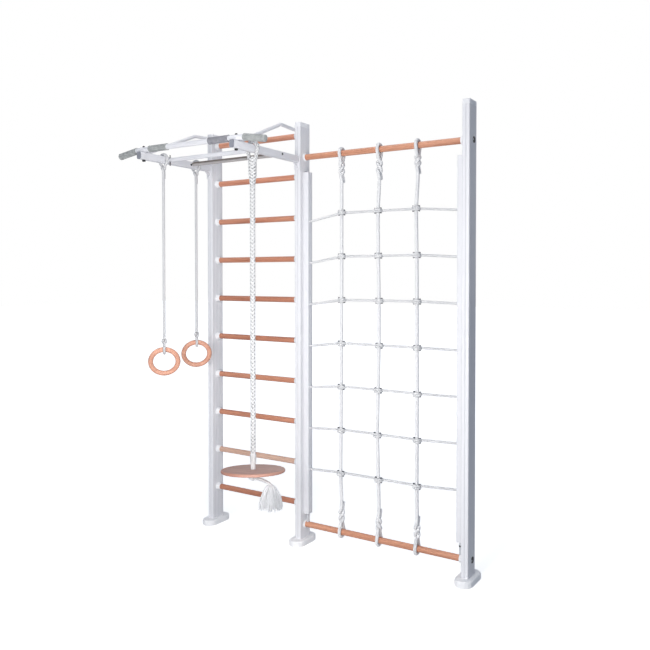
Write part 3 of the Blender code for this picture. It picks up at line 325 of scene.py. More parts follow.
ring_cord = cord_finish("ring_cord", (0.67, 0.67, 0.68), 8, 0.0090, 0.0006)
arm_corner = math.hypot(ARM_WIDTH / 2 - ARM_CORNER, ARM_HEIGHT / 2 - ARM_CORNER) + ARM_CORNER
arm_wrap = arm_corner + RING_ROPE / 2 + ROPE_GAP
ring_wrap = (RING_ROPE + RING_SECTION) / 2 + ROPE_GAP
flat = np.array([math.cos(RING_TURN), math.sin(RING_TURN), 0.0])
facing = np.cross(flat, UP)
rise = UP * math.cos(RING_LEAN) + facing * math.sin(RING_LEAN)
for place, (reach, level, tail) in RING_SETS.items():
    arm = np.array([LEFT_X, reach, ARM_LEVEL])
    grasp = np.array([LEFT_X, reach, level]) + rise * RING_RADIUS
    down = (grasp - arm) / np.linalg.norm(grasp - arm)
    sideways = np.cross(BACK, down) / np.linalg.norm(np.cross(BACK, down))
    turned = np.cross(-down, flat) / np.linalg.norm(np.cross(-down, flat))
    upper = hitch(arm, down, sideways, arm_wrap, RING_ROPE, **ARM_HITCH)
    lower = hitch(grasp, -down, turned, ring_wrap, RING_ROPE, **RING_HITCH, tail=tail)
    route = even(np.concatenate([upper[::-1], lower]), 0.003, 0.009)
    rope = skin(place + "_ring_cord", [sweep(route, RING_ROPE / 2, 16)], ring_cord, place + "_ring_rope")
    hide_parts(place + "_ring_rope")

# Climbing rope
# Plaited white rope of eight strands, spliced into a loop over the right arm. Above the seat a
# whipping of thin line ends the plait, and a smooth cover goes on to the knot that holds the disc.
ROPE_X = 0.0
ROPE_REACH = -0.447
CLIMB_ROPE = 0.0305
CLIMB_PITCH = 0.076
LOOP_ROPE = 0.022
LOOP_PITCH = 0.060
LOOP_HALF = 0.008
SPLICE_TOP = 0.047
SPLICE_LENGTH = 0.145
SPLICE_WIDTH = 0.046
SPLICE_PITCH = 0.068
SPLICE_SHARES = (0, 0.08, 0.6, 0.85, 1)
SPLICE_RADII = (0.017, 0.0234, 0.0230, 0.018, 0.0155)
SWING_LEVEL = 1.9508
SEAT_LEVEL = 0.509
PLAIT_END = 0.553
PLAIT_LEAD = math.radians(38.5)
CORE_RADIUS = 0.0126
COVER_TOP = 0.600
COVER_STEP = 0.550
COVER_RADII = (0.0130, 0.0138)
WHIP_LEVEL = 0.552
WHIP_TURNS = 10
WHIP_PITCH = 0.0043
WHIP_RADIUS = 0.0146
WHIP_LINE = 0.0020


def plait(path, radius, pitch, count=4, strand=0.34, sides=10):
    """Flattened strands on a path: one set turns one way and one the other, at the angle
    2 pi * distance / pitch. Each rises on two opposite faces of the rope, where the other set dips,
    by 0.12 * radius * cos(2 * (place round - PLAIT_LEAD))."""
    _, normal, cross = frames(path)
    run = np.concatenate([[0], np.linalg.norm(np.diff(path, axis=0), axis=1).cumsum()])
    angle = 2 * np.pi * run / pitch
    radius = np.broadcast_to(radius, len(path))
    thick = radius * strand * 0.7
    sheets = [sweep(path, radius * 0.55, 12)]
    for way in (1, -1):
        for number in range(count):
            turned = way * angle + number * 2 * np.pi / count
            spoke = normal * np.cos(turned)[:, None] + cross * np.sin(turned)[:, None]
            swell = 0.12 * (way * np.cos(2 * (turned - PLAIT_LEAD)) - 1)
            line = path + (radius * (1 + swell) - thick)[:, None] * spoke
            sheets.append(sweep(line, thick, sides, outward=spoke, flat=1.45))
    return sheets


def strand_finish(name, colour, deepest_shade):
    """Twisted polyester strand: near white, with fine dark yarn lines of painted shade that slant across the
    strand, and with painted shade on its inner side, deepest where the strand turns down into the plait."""
    made, tree, shader = finish(name, colour, 0.8, sheen_weight=0.15, sheen_roughness=0.5)
    along, around = run_of(tree)
    yarn = reckon(tree, "MULTIPLY_ADD", around, 8.0, reckon(tree, "MULTIPLY", along, 160.0))
    wave = reckon(tree, "SINE", reckon(tree, "MULTIPLY", yarn, 2 * math.pi))
    # The troughs of the yarn lines are painted shade between the yarns.
    lines = remap(tree, wave, -1.0, 0.2, 0.88, 1.0)
    soil = remap(tree, noise(tree, place_on(tree), 120.0, 4.0), 0.3, 0.7, 0.93, 1.0)
    # Painted shade: the strand's inner side, where it turns down into the plait, is darker down to the given
    # darkest tone.
    facing_out = reckon(tree, "COSINE", reckon(tree, "MULTIPLY", around, 2 * math.pi))
    depth = remap(tree, facing_out, 0.1, 0.95, deepest_shade, 1.0)
    deep = reckon(tree, "MULTIPLY", reckon(tree, "MULTIPLY", lines, soil), depth)
    tree.links.new(tint(tree, colour, deep), shader.inputs["Base Color"])
    emboss(tree, shader, wave, 0.5, 0.0004)
    return made


# The rope's strands and the tassel's yarns carry painted shade on their inner sides; the cover's yarn has
# none.
rope_strand = strand_finish("rope_strand", (0.78, 0.78, 0.79), 0.12)
rope_yarn = strand_finish("rope_yarn", (0.84, 0.84, 0.85), 1.0)
brush_yarn = strand_finish("brush_yarn", (0.88, 0.89, 0.92), 0.42)
arm = np.array([ROPE_X, ROPE_REACH, ARM_LEVEL])
loop_wrap = arm_corner + LOOP_ROPE / 2 + ROPE_GAP
throat = SPLICE_TOP + SPLICE_WIDTH / 2
touch = math.acos(loop_wrap / throat)
foot = arm - UP * (throat + 0.02)
eye = np.concatenate([[foot + RIGHT * LOOP_HALF],
                      arc(arm, -UP, RIGHT, loop_wrap, touch, 2 * (math.pi - touch)),
                      [foot - RIGHT * LOOP_HALF]])
eye = even(eye, 0.003, 0.012)
splice = np.linspace(arm - UP * (SPLICE_TOP - 0.002), arm - UP * (SPLICE_TOP + SPLICE_LENGTH), 60)
splice_radius = np.interp(np.linspace(0, 1, 60), SPLICE_SHARES, SPLICE_RADII)
loop = skin("spliced_loop", plait(eye, LOOP_ROPE / 2, LOOP_PITCH)
            + plait(splice, splice_radius, SPLICE_PITCH, strand=0.25), rope_strand, "rope_loop")
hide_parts("climbing_rope_loop")

route_top = SWING_LEVEL + 0.012
route_foot = SEAT_LEVEL - 0.010
route = np.linspace([ROPE_X, ROPE_REACH, route_top], [ROPE_X, ROPE_REACH, route_foot], 490)
plaited = route[route[:, 2] > PLAIT_END]
covered = route[route[:, 2] < COVER_TOP]
rope = skin("plaited_rope", [*plait(plaited, CLIMB_ROPE / 2, CLIMB_PITCH), sweep(covered, CORE_RADIUS, 16)],
            rope_strand, "rope")
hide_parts("climbing_rope")
turn = np.linspace(0, 2 * np.pi * WHIP_TURNS, WHIP_TURNS * 28)
whip = np.stack([ROPE_X + WHIP_RADIUS * np.cos(turn), ROPE_REACH + WHIP_RADIUS * np.sin(turn),
                 WHIP_LEVEL + WHIP_PITCH * turn / (2 * np.pi)], 1)
cover = skin("rope_cover", [sweep(covered, np.where(covered[:, 2] < COVER_STEP, *COVER_RADII), 20),
                            sweep(whip, WHIP_LINE, 8)], rope_yarn, "rope")

# Knot, tail and tassel
# The rope's foot is knotted under the disc. A thinner plaited tail leaves the knot to the right,
# bends down and ends in a tassel of loose frayed yarns.
TAIL_ROPE = 0.019
TAIL_PITCH = 0.046
TAIL_BEND = ((0, 0, 0), (0.030, 0, -0.004), (0.054, 0, -0.005), (0.082, 0, -0.011), (0.104, 0, -0.018),
             (0.117, 0, -0.030), (0.119, 0, -0.054))
TAIL_DROP = 0.025
KNOT_ROPE = 0.015
KNOT_TOP_DROP = 0.0086
KNOT_DROP = 0.0215
KNOT_REACH = 0.0125
KNOT_SWELL = 0.0050
KNOT_HALF_HEIGHT = 0.0115
KNOT_LAP = 0.06
SEAT_TILT = math.radians(6)
SEAT_TILT_TURN = math.radians(38)
TASSEL_TOP = (0.111, 0, -0.021)
TASSEL_WIDTH = 0.138
TASSEL_LENGTH = 0.128
TASSEL_YARNS = 190


def trefoil(centre, reach, swell, height, lap):
    """A knotted loop: (reach + swell * cos 3a) out from the centre at the angle 2a, and
    height * sin 3a above it, with a from 0 over one turn and a lap."""
    turn = np.linspace(0, 2 * np.pi + lap, 140)
    out = reach + swell * np.cos(3 * turn)
    return centre + np.stack([out * np.cos(2 * turn), out * np.sin(2 * turn), height * np.sin(3 * turn)], 1)


def yarns(top, width, length, count, seed):
    """Frayed yarns from one top. Over the share s of its fall each stands out from the middle by
    its own reach * (0.10 + 0.94 * s ^ 0.62 - 0.16 * s ^ 4), with up to 3.5 mm of curl."""
    chance = np.random.default_rng(seed)
    share = np.linspace(0, 1, 22)[None, :, None]
    way = chance.uniform(0, 2 * np.pi, (count, 1, 1))
    out = np.sqrt(chance.uniform(0.15, 1, (count, 1, 1))) * width / 2
    fall = chance.uniform(0.86, 1, (count, 1, 1)) * length
    spread = 0.10 + 0.94 * share ** 0.62 - 0.16 * share ** 4
    curl = chance.uniform(-1, 1, (count, 1, 1)) * 0.0035
    curl = curl * np.sin(share * chance.uniform(5, 11, (count, 1, 1)))
    radius = out * spread + curl
    angle = way + chance.uniform(-0.25, 0.25, (count, 1, 1)) * share
    lines = np.concatenate([radius * np.cos(angle), radius * np.sin(angle), -fall * share + 0 * way], 2)
    return [sweep(line, np.linspace(0.0026, 0.0019, 22), 6) for line in lines + top]


seat_lean = np.array([-math.sin(SEAT_TILT_TURN), math.cos(SEAT_TILT_TURN), 0])
seat_axis = UP * math.cos(SEAT_TILT) + seat_lean * math.sin(SEAT_TILT)
knot_top = np.array([ROPE_X, ROPE_REACH, SEAT_LEVEL]) - seat_axis * KNOT_TOP_DROP
start = knot_top - UP * TAIL_DROP
tail = skin("bent_tail", plait(even(start + np.array(TAIL_BEND), 0.002, 0.016), TAIL_ROPE / 2, TAIL_PITCH),
            rope_yarn, "rope")
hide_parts("rope_tail")
brush = skin("frayed_tassel", yarns(start + TASSEL_TOP, TASSEL_WIDTH, TASSEL_LENGTH, TASSEL_YARNS, 5),
             brush_yarn, "rope")
knot = trefoil(knot_top - seat_axis * KNOT_DROP, KNOT_REACH, KNOT_SWELL, KNOT_HALF_HEIGHT, KNOT_LAP)
tail_knot = skin("seat_knot", [sweep(knot, KNOT_ROPE / 2, 16)], rope_yarn, "rope")

# Net
# Three thick braided ropes hang from the top bar to the bottom bar, hitched round both. Seven
# thinner ropes cross them, take two turns round each, and go into holes in the side rails. Dark
# rings of cord laid over each crossing are painted shade in the knots' crevices. The ropes wander a
# little to either side, as hand-tied ones do.
UPRIGHT_ROPE = 0.018
CROSS_ROPE = 0.013
BAR_RADIUS = 0.0165
BAR_LEVELS = (0.108, 2.169)
NET_LEFT = 0.0543
NET_RIGHT = 0.9307
NET_SHARES = (0.2333, 0.4966, 0.7487)
NET_ROWS = 7
NET_PITCH = (BAR_LEVELS[1] - BAR_LEVELS[0]) / 8.7
HOLE_PITCH = NET_PITCH / 1.025
NET_MIDDLE = sum(BAR_LEVELS) / 2
NET_THROAT = 0.052
NET_TWISTS = ((0.068, 0.068), (0.068, 0.068), (0.068, 0.056))
TAIL_SHARE = 0.22
SWAYS = ((-0.006, -0.004, -0.003, -0.002, 0, 0, 0),
         (-0.003, -0.010, -0.006, -0.001, -0.001, -0.006, -0.008),
         (-0.002, -0.001, -0.001, -0.002, -0.003, -0.005, -0.009))
SWAY_ENDS = (0.29, 1.99)
WRAP_GAP = 0.0004
TURN_RISE = 0.0062
LEFT_DROP = 0.022
END_IN = 0.012
END_OUT = 0.006
# The dark rings of painted shade at each knot.
KNOT_SHADOW_REACH = 0.0222
KNOT_SHADOW_DEPTH = 0.012
KNOT_SHADOW_SLANT = 0.62
KNOT_SHADOW_RADIUS = 0.0031


def crossing(at):
    """Two turns of the cross rope round an upright, from its left to its right. Over the share s of
    the turns the rope rises and falls by TURN_RISE * sin(2 pi s), and it steps out over itself
    behind the upright by 0.9 ropes * exp(-((s - 0.5) / 0.07) ^ 2)."""
    share = np.linspace(0, 1, 90)[:, None]
    lap = math.radians(15)
    angle = math.pi / 2 + lap - (4 * math.pi + 2 * lap) * share
    step = 0.9 * CROSS_ROPE * np.exp(-((share - 0.5) / 0.07) ** 2)
    radius = (UPRIGHT_ROPE + CROSS_ROPE) / 2 + WRAP_GAP + step
    return (at + radius * (RIGHT * np.cos(angle) + BACK * np.sin(angle))
            + UP * TURN_RISE * np.sin(2 * np.pi * share))


def knot_shadow_ring(at, slant):
    """One dark ring of painted shade: an oval about the crossing whose long half goes with the slant and
    whose short half goes to the wall."""
    turn = np.linspace(0, 2 * np.pi, 40, endpoint=False)[:, None]
    lean = RIGHT * math.cos(slant) + UP * math.sin(slant)
    return sweep(at + KNOT_SHADOW_REACH * lean * np.cos(turn) + KNOT_SHADOW_DEPTH * BACK * np.sin(turn), KNOT_SHADOW_RADIUS, 8)


net_cord = cord_finish("net_cord", (0.82, 0.82, 0.83), 8, 0.011, 0.0007)
thin_cord = cord_finish("thin_cord", (0.71, 0.71, 0.72), 8, 0.008, 0.0005)
# The near-black cord makes the rings of painted shade at the knots.
shadow_cord = cord_finish("shadow_cord", (0.07, 0.07, 0.08), 6, 0.004, 0.0002)
columns = [NET_LEFT + (NET_RIGHT - NET_LEFT) * share for share in NET_SHARES]
knots = [NET_MIDDLE + NET_PITCH * (row - 3) for row in range(NET_ROWS)]
bar_wrap = BAR_RADIUS + UPRIGHT_ROPE / 2 + WRAP_GAP
for number, (x, twists, sways) in enumerate(zip(columns, NET_TWISTS, SWAYS), 1):
    ends = [hitch(np.array([x, 0, level]), away, -BACK, bar_wrap, UPRIGHT_ROPE, NET_THROAT, 1, twist,
                  TAIL_SHARE * twist) for level, away, twist in zip(BAR_LEVELS, (UP, -UP), twists)]
    line = np.concatenate([ends[0][::-1], ends[1]])
    if number == 2:
        line[:, 0] = 2 * x - line[:, 0]
    line = even(line, 0.004, 0.010)
    line[:, 0] += np.interp(line[:, 2], [SWAY_ENDS[0], *knots, SWAY_ENDS[1]], [0, *sways, 0])
    upright = skin(f"net_upright_rope_{number}", [sweep(line, UPRIGHT_ROPE / 2, 16)], net_cord)
    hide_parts(f"net_upright_{number}")
for row, level in enumerate(knots):
    hole = NET_MIDDLE + HOLE_PITCH * (row - 3)
    places = [np.array([x + sways[row], 0, level]) for x, sways in zip(columns, SWAYS)]
    left_end = [[NET_LEFT - END_IN, 0, hole - LEFT_DROP], [NET_LEFT + END_OUT, 0, hole - LEFT_DROP]]
    right_end = [[NET_RIGHT - END_OUT, 0, hole], [NET_RIGHT + END_IN, 0, hole]]
    line = np.concatenate([left_end, *map(crossing, places), right_end])
    tube = sweep(even(line, 0.003, 0.006), CROSS_ROPE / 2, 14)
    cross_rope = skin(f"net_cross_rope_{row + 1}", [tube], thin_cord)
    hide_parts(f"net_cross_{row + 1}")
    # Two dark rings at each crossing, painted shade in the knot's crevices.
    knot_shadows = [knot_shadow_ring(place, slant) for place in places for slant in (KNOT_SHADOW_SLANT, -KNOT_SHADOW_SLANT)]
    knot_shadow_piece = skin(f"net_knot_shadows_{row + 1}", knot_shadows, shadow_cord, closed=True)

# Posts, rails, caps and feet
# Powder-coated steel profiles with grooved sides, closed above by moulded caps, and standing on
# long moulded feet with half-round ends. Two slimmer rails of the same steel take the cross ropes.
POST_XS = {"left": LEFT_X, "middle": 0.0, "right": 0.985}
POST_WIDTH = 0.040
POST_DEPTH = 0.094
POST_CORNER = 0.006
POST_LEVELS = (0.0322, 2.3348)
CAP_LEVELS = (2.3350, 2.3356, 2.3575, 2.3592, 2.3600)
CAP_INSETS = (0.0006, 0.0, 0.0, 0.0007, 0.0024)
HALF_PITCH = (POST_DEPTH - 2 * POST_CORNER) / 12
RAILS = {"left": (0.0373, 0.172, 2.083), "right": (0.9477, 0.192, 2.096)}
RAIL_WIDTH = 0.034
RAIL_DEPTH = 0.042
RAIL_CORNER = 0.004


def coat_effect():
    """The fine ripple of sprayed paint or moulded plastic, and the faint unevenness of its gloss."""
    tree, given, out = effect("coat", {"Scale": "number", "Low gloss": "number", "High gloss": "number"},
                              {"Height": "number", "Roughness": "number"})
    where = place_on(tree)
    cloud = noise(tree, where, 9.0, 4.0)
    gloss = remap(tree, cloud, 0.3, 0.7, given["Low gloss"], given["High gloss"])
    tree.links.new(noise(tree, where, given["Scale"], 2.0), out["Height"])
    tree.links.new(gloss, out["Roughness"])
    return tree


COAT = coat_effect()


def coated(name, colour, scale, low, high, depth, metallic=0.0):
    """Paint, plastic or blacked steel with the coat effect on it."""
    made, tree, shader = finish(name, colour, (low + high) / 2, metallic)
    coat = put(tree, "ShaderNodeGroup", {}, node_tree=COAT)
    coat.inputs["Scale"].default_value = scale
    coat.inputs["Low gloss"].default_value = low
    coat.inputs["High gloss"].default_value = high
    tree.links.new(coat.outputs["Roughness"], shader.inputs["Roughness"])
    emboss(tree, shader, coat.outputs["Height"], 0.5, depth)
    return made


def grooved_paint(name, colour):
    """Post paint with painted shade in its grooves and by its front and back edges. Y is folded over
    half the groove pitch, and the tone falls from 4.0 to 2.2 mm of a groove's middle and where |Y| is
    within 1.5 mm of 44.9 mm, by the front and back edges."""
    made = coated(name, colour, 700.0, 0.32, 0.45, 0.0001)
    tree = made.node_tree
    depth = axes_of(tree, place_on(tree))[1]
    # Painted shade: the grooves and the rounded front and back edges are darker.
    open_face = remap(tree, reckon(tree, "PINGPONG", depth, HALF_PITCH), 0.0022, 0.0040, 0.0, 1.0)
    edge = reckon(tree, "COMPARE", reckon(tree, "ABSOLUTE", depth), 0.0449, 0.0015)
    share = reckon(tree, "MULTIPLY", open_face, reckon(tree, "SUBTRACT", 1.0, edge))
    tree.links.new(tint(tree, colour, share, 0.84), tree.nodes["Principled BSDF"].inputs["Base Color"])
    return made


def dress(material, *nodes):
    """Gives the frame's own nodes a finish."""
    for name in nodes:
        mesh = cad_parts[name].data
        mesh.materials.clear()
        mesh.materials.append(material)


def section(width, depth, corner, grooves, wide=0.006, deep=0.0014):
    """The outline of a grooved profile, anticlockwise from its front: on each side the flat
    bottomed grooves, then a quarter round to the next side."""
    bend = np.linspace(np.pi / 2, 0, 7)
    ring = []
    for quarter, (long, out) in enumerate(((width, depth), (depth, width)) * 2):
        middles = np.linspace(corner - long / 2, long / 2 - corner, grooves[quarter % 2] + 2)[1:-1, None]
        steps = middles + np.array([-wide / 2, deep - wide / 2, wide / 2 - deep, wide / 2])
        floors = np.tile([out / 2, out / 2 - deep, out / 2 - deep, out / 2], len(middles))
        along = np.concatenate([steps.ravel(), long / 2 - corner + corner * np.cos(bend)])
        outward = np.concatenate([floors, out / 2 - corner + corner * np.sin(bend)])
        turn = quarter * np.pi / 2
        ring.append(np.outer(along, (math.cos(turn), math.sin(turn)))
                    + np.outer(outward, (math.sin(turn), -math.cos(turn))))
    return np.concatenate(ring)


def stack(ring, at, levels, insets=0.0):
    """Copies of an outline at each level. An inset draws the outline in towards its middle."""
    levels = np.asarray(levels, dtype=float)
    shrink = 1 - np.broadcast_to(insets, len(levels))[:, None, None] / np.abs(ring).max(0)
    flat = np.asarray(at)[None, None] + ring[None] * shrink
    return np.concatenate([flat, np.broadcast_to(levels[:, None, None], (*flat.shape[:2], 1))], 2)


# The posts' paint carries painted shade in its grooves and along its edges.
post_paint = grooved_paint("post_paint", (0.83, 0.83, 0.86))
rail_paint = coated("rail_paint", (0.775, 0.775, 0.805), 700.0, 0.32, 0.45, 0.0001)
moulded_white = coated("moulded_white", (0.88, 0.88, 0.90), 1400.0, 0.4, 0.55, 0.0001)
foot_white = coated("foot_white", (0.97, 0.97, 0.98), 1400.0, 0.4, 0.55, 0.0001)
dress(foot_white, "left_foot", "middle_foot", "right_foot")
profile = section(POST_WIDTH, POST_DEPTH, POST_CORNER, (1, 5))
crown = section(POST_WIDTH, POST_DEPTH, POST_CORNER, (0, 5), 0.0065, 0.0018)
for side, x in POST_XS.items():
    post = skin(side + "_grooved_post", [stack(profile, (x, 0), POST_LEVELS)], post_paint)
    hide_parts(side + "_post")
    cap = skin(side + "_ribbed_cap", [stack(crown, (x, 0), CAP_LEVELS, CAP_INSETS)], moulded_white)
    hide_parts(side + "_cap")
profile = section(RAIL_WIDTH, RAIL_DEPTH, RAIL_CORNER, (0, 1), 0.005, 0.001)
for side, (x, base, top) in RAILS.items():
    levels = (base, base + 0.001, top - 0.001, top)
    rail = skin(side + "_white_rail", [stack(profile, (x, 0), levels, (0.001, 0.0, 0.0, 0.001))], rail_paint)
    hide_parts(side + "_net_rail")

# Rungs and net bars
# Turned beech with a satin lacquer, whose tone differs from rung to rung. Each end is seated in a
# moulded cup that is screwed to its post.
RUNG_RADIUS = 0.016
RUNG_BASE = 0.222
RUNG_PITCH = 0.230
RUNG_LEVELS = [RUNG_BASE + RUNG_PITCH * number for number in range(10)]
RUNG_START = -0.6197
RUNG_END = -0.0233
BAR_START = 0.0233
BAR_END = 0.9617
CUP_GAP = 0.0001
CUP_ROWS = ((-0.623, RIGHT, RUNG_RADIUS, 0.024, RUNG_LEVELS),
            (-0.020, -RIGHT, RUNG_RADIUS, 0.024, RUNG_LEVELS),
            (0.020, RIGHT, BAR_RADIUS, 0.008, BAR_LEVELS),
            (0.965, -RIGHT, BAR_RADIUS, 0.020, BAR_LEVELS))
WOODS = {"beech": ((0.72, 0.325, 0.205), (0.46, 0.170, 0.095)),
         "red_beech": ((0.62, 0.260, 0.160), (0.40, 0.140, 0.075)),
         "light_beech": ((0.84, 0.395, 0.260), (0.58, 0.225, 0.135)),
         "pale_beech": ((0.80, 0.540, 0.420), (0.56, 0.330, 0.240)),
         "bar_beech": ((0.74, 0.355, 0.225), (0.50, 0.210, 0.120)),
         "ring_beech": ((0.84, 0.450, 0.315), (0.68, 0.320, 0.215), 0.12)}
RUNG_WOODS = {1: "red_beech", 2: "pale_beech", 5: "red_beech", 6: "red_beech", 9: "light_beech",
              10: "light_beech"}


def drawn_out(tree, vector, along, across):
    """The vector times so much along the grain, its X, and so much across it."""
    factors = (along, across, across)
    return put(tree, "ShaderNodeVectorMath", {0: vector, 1: factors}, operation="MULTIPLY").outputs[0]


def wood_effect():
    """Beech: long streaks of tone and short dark pores, both of them noise that is drawn out along
    the grain, which runs along the vector's X."""
    tree, given, out = effect("wood", {"Vector": "vector"}, {"Tone": "number", "Pores": "number"})
    streak = put(tree, "ShaderNodeTexNoise", {"Vector": drawn_out(tree, given["Vector"], 1.2, 26.0),
                                              "Scale": 1.6, "Detail": 6.0, "Roughness": 0.6,
                                              "Distortion": 0.6}).outputs[0]
    pores = noise(tree, drawn_out(tree, given["Vector"], 55.0, 900.0), 1.0, 2.0)
    tree.links.new(remap(tree, streak, 0.3, 0.7, 0.0, 1.0), out["Tone"])
    tree.links.new(remap(tree, pores, 0.58, 0.68, 0.0, 1.0), out["Pores"])
    return tree


WOOD = wood_effect()


def wooden(name, light, dark, pores=0.45):
    """Lacquered wood between two tones, with its pores so much darker."""
    made, tree, shader = finish(name, light, 0.42, coat_weight=0.15, coat_roughness=0.3)
    wood = put(tree, "ShaderNodeGroup", {}, node_tree=WOOD)
    tree.links.new(place_on(tree), wood.inputs["Vector"])
    tones = mixed(tree, wood.outputs["Tone"], dark, light)
    flecks = reckon(tree, "MULTIPLY", wood.outputs["Pores"], pores)
    deep = mixed(tree, flecks, tones, [part * 0.5 for part in dark])
    tree.links.new(deep, shader.inputs["Base Color"])
    tree.links.new(remap(tree, wood.outputs["Tone"], 0.0, 1.0, 0.5, 0.36), shader.inputs["Roughness"])
    emboss(tree, shader, wood.outputs["Pores"], 0.4, 0.0002).invert = True
    return made


def lathe(profile, sides, at, along=UP, across=RIGHT):
    """A turned shape: at + radius * (across * cos a + third * sin a) + height * along, for each
    radius and height of the profile."""
    profile = np.asarray(profile, dtype=float)
    along = np.asarray(along) / np.linalg.norm(along)
    across = across - along * (along @ across)
    across = across / np.linalg.norm(across)
    third = np.cross(along, across)
    angle = np.linspace(0, 2 * np.pi, sides, endpoint=False)[None, :, None]
    spoke = across * np.cos(angle) + third * np.sin(angle)
    return np.asarray(at) + profile[:, :1, None] * spoke + profile[:, 1:, None] * along


def turned_bar(name, node, radius, start, end, level, wood):
    """A round bar along X whose ends are eased over 1.5 mm."""
    ease = np.linspace(0, np.pi / 2, 5)
    nose = np.stack([radius - 0.0015 + 0.0015 * np.sin(ease), 0.0015 - 0.0015 * np.cos(ease)], 1)
    body = np.stack([np.full(7, radius), np.linspace(0.003, end - start - 0.003, 7)], 1)
    tail = nose[::-1] * (1, -1) + (0, end - start)
    bar = skin(name, [lathe(np.concatenate([nose, body, tail]), 40, (start, 0, level), RIGHT, UP)], wood)
    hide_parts(node)


def cup_sheet(at, along, bore, reach):
    """A moulded cup: a flange with a rounded edge on the post, then a collar that tapers to its
    mouth. The sheet's profile runs out along the flange, up the collar and down the bore."""
    rim = bore + 0.0042
    profile = [(bore, 0.0002), (rim + 0.0020, 0.0002), (rim + 0.0028, 0.0010), (rim + 0.0024, 0.0026),
               (rim + 0.0006, 0.0034), (rim, 0.0050), (rim - 0.0006, reach - 0.0008),
               (rim - 0.0014, reach + 0.0003), (bore + 0.0006, reach + 0.0003), (bore, reach - 0.0006)]
    return lathe(profile, 40, at, along, UP)


woods = {name: wooden(name, *tones) for name, tones in WOODS.items()}
for number, level in enumerate(RUNG_LEVELS, 1):
    turned_bar(f"beech_rung_{number:02d}", f"rung_{number:02d}", RUNG_RADIUS, RUNG_START, RUNG_END, level,
               woods[RUNG_WOODS.get(number, "beech")])
for node, level in zip(("bottom_net_bar", "top_net_bar"), BAR_LEVELS):
    turned_bar("beech_" + node, node, BAR_RADIUS, BAR_START, BAR_END, level, woods["bar_beech"])
cups = [cup_sheet((x, 0, level), along, radius + CUP_GAP, reach)
        for x, along, radius, reach, levels in CUP_ROWS for level in levels]
skin("bar_cups", cups, moulded_white, closed=True)

# Pull-up frame
# Two square arms bolted to the ladder posts, tied by two cross tubes and braced by bent stays, all
# of white painted steel, with dark plugs in the arms' ends. The pull-up bar lies across them.
PULL_REACH = -0.575
PULL_RADIUS = 0.014
PULL_GAP = 0.0003
PULL_BAR = np.array([0.0, PULL_REACH, ARM_LEVEL + ARM_HEIGHT / 2 + PULL_GAP + PULL_RADIUS])
REAR_DARK_FROM = 2.156
REAR_DARK_TO = 2.163
frame_paint = coated("frame_paint", (0.80, 0.80, 0.83), 700.0, 0.28, 0.4, 0.0001)
plug_plastic = coated("plug_plastic", (0.24, 0.25, 0.29), 1200.0, 0.35, 0.5, 0.0001)
dress(frame_paint, "left_arm", "right_arm", "left_arm_bracket", "right_arm_bracket", "front_cross_tube",
      "pull_up_bar", "left_stay", "right_stay")
dress(plug_plastic, "left_arm_plug", "right_arm_plug")


def dark_topped_finish(name, lower, upper):
    """A colour that goes from the lower tone to the upper one as Z, with up to 4 mm of noise added,
    rises between two levels. The rear tube is dark along its top, as the photograph shows it; what
    makes it dark is not known."""
    made, tree, shader = finish(name, (0.5, 0.5, 0.5), 0.4)
    where = place_on(tree)
    uneven = noise(tree, where, 30.0, 3.0)
    level = reckon(tree, "MULTIPLY_ADD", uneven, 0.004, axes_of(tree, where)[2])
    share = remap(tree, level, REAR_DARK_FROM, REAR_DARK_TO, 0.0, 1.0)
    tree.links.new(mixed(tree, share, lower, upper), shader.inputs["Base Color"])
    return made


# The rear tube is darker along its top; what makes it dark is not known.
dress(dark_topped_finish("rear_paint", (0.50, 0.47, 0.46), (0.13, 0.105, 0.09)), "rear_cross_tube")

# Bolts and small fixings
# Blacked or bright steel and black plastic. A bolt goes through the right post into each net bar,
# its bright head in a black recess. Others go through the arms, and nuts on screws hold the rails.
POST_SIDE = 1.005
RECESS_REACH = 0.010
RECESS = ((0.0162, -0.0010), (0.0162, 0.0006), (0.0154, 0.0012), (0.0142, 0.0009), (0.0132, 0.0002),
          (0.0010, 0.0002))
HEAD_REACH = -0.002
HEAD = ((0.0040, 0.0000), (0.0040, 0.0018), (0.0030, 0.0028), (0.0010, 0.0032))
SIDE_BOLTS = ((0.0, -0.209, 2.158), (LEFT_X, -0.223, 2.152))
BOLT_END = ((0.0062, -0.001), (0.0062, 0.0008), (0.0010, 0.0014))
PIN_PLACE = (LEFT_X + 0.0176, -0.396, 2.153)
PIN = ((0.0026, -0.030), (0.0026, 0.030))
ARM_NUT = ((0.0095, -0.0085), (0.0095, 0.0))
RAIL_NUT_LEVEL = 0.166
RAIL_NUT = ((0.0095, 0.0), (0.0095, 0.007))
RAIL_SCREW_LEVEL = 0.123
RAIL_SCREW = ((0.0080, 0.0), (0.0080, 0.072))
black_steel = coated("black_steel", (0.02, 0.02, 0.025), 900.0, 0.3, 0.42, 0.0001, metallic=0.8)
black_plastic = coated("black_plastic", (0.008, 0.008, 0.010), 900.0, 0.5, 0.65, 0.0001)
bright_steel = coated("bright_steel", (0.62, 0.64, 0.67), 900.0, 0.3, 0.4, 0.0001, metallic=0.2)
dress(black_steel, "left_frame_bolt", "right_frame_bolt")
for node, level in zip(("bottom_bar_bolt", "top_bar_bolt"), BAR_LEVELS):
    recess = skin(node + "_recess", [lathe(RECESS, 32, (POST_SIDE, RECESS_REACH, level), RIGHT, UP)],
                  black_plastic)
    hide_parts(node)
    head = skin(node + "_head", [lathe(HEAD, 24, (POST_SIDE, HEAD_REACH, level), RIGHT, UP)], bright_steel)
rail_xs = [x for x, _, _ in RAILS.values()]
fixings = [lathe(BOLT_END, 20, (x + ARM_WIDTH / 2, reach, level), RIGHT, UP)
           for x, reach, level in SIDE_BOLTS]
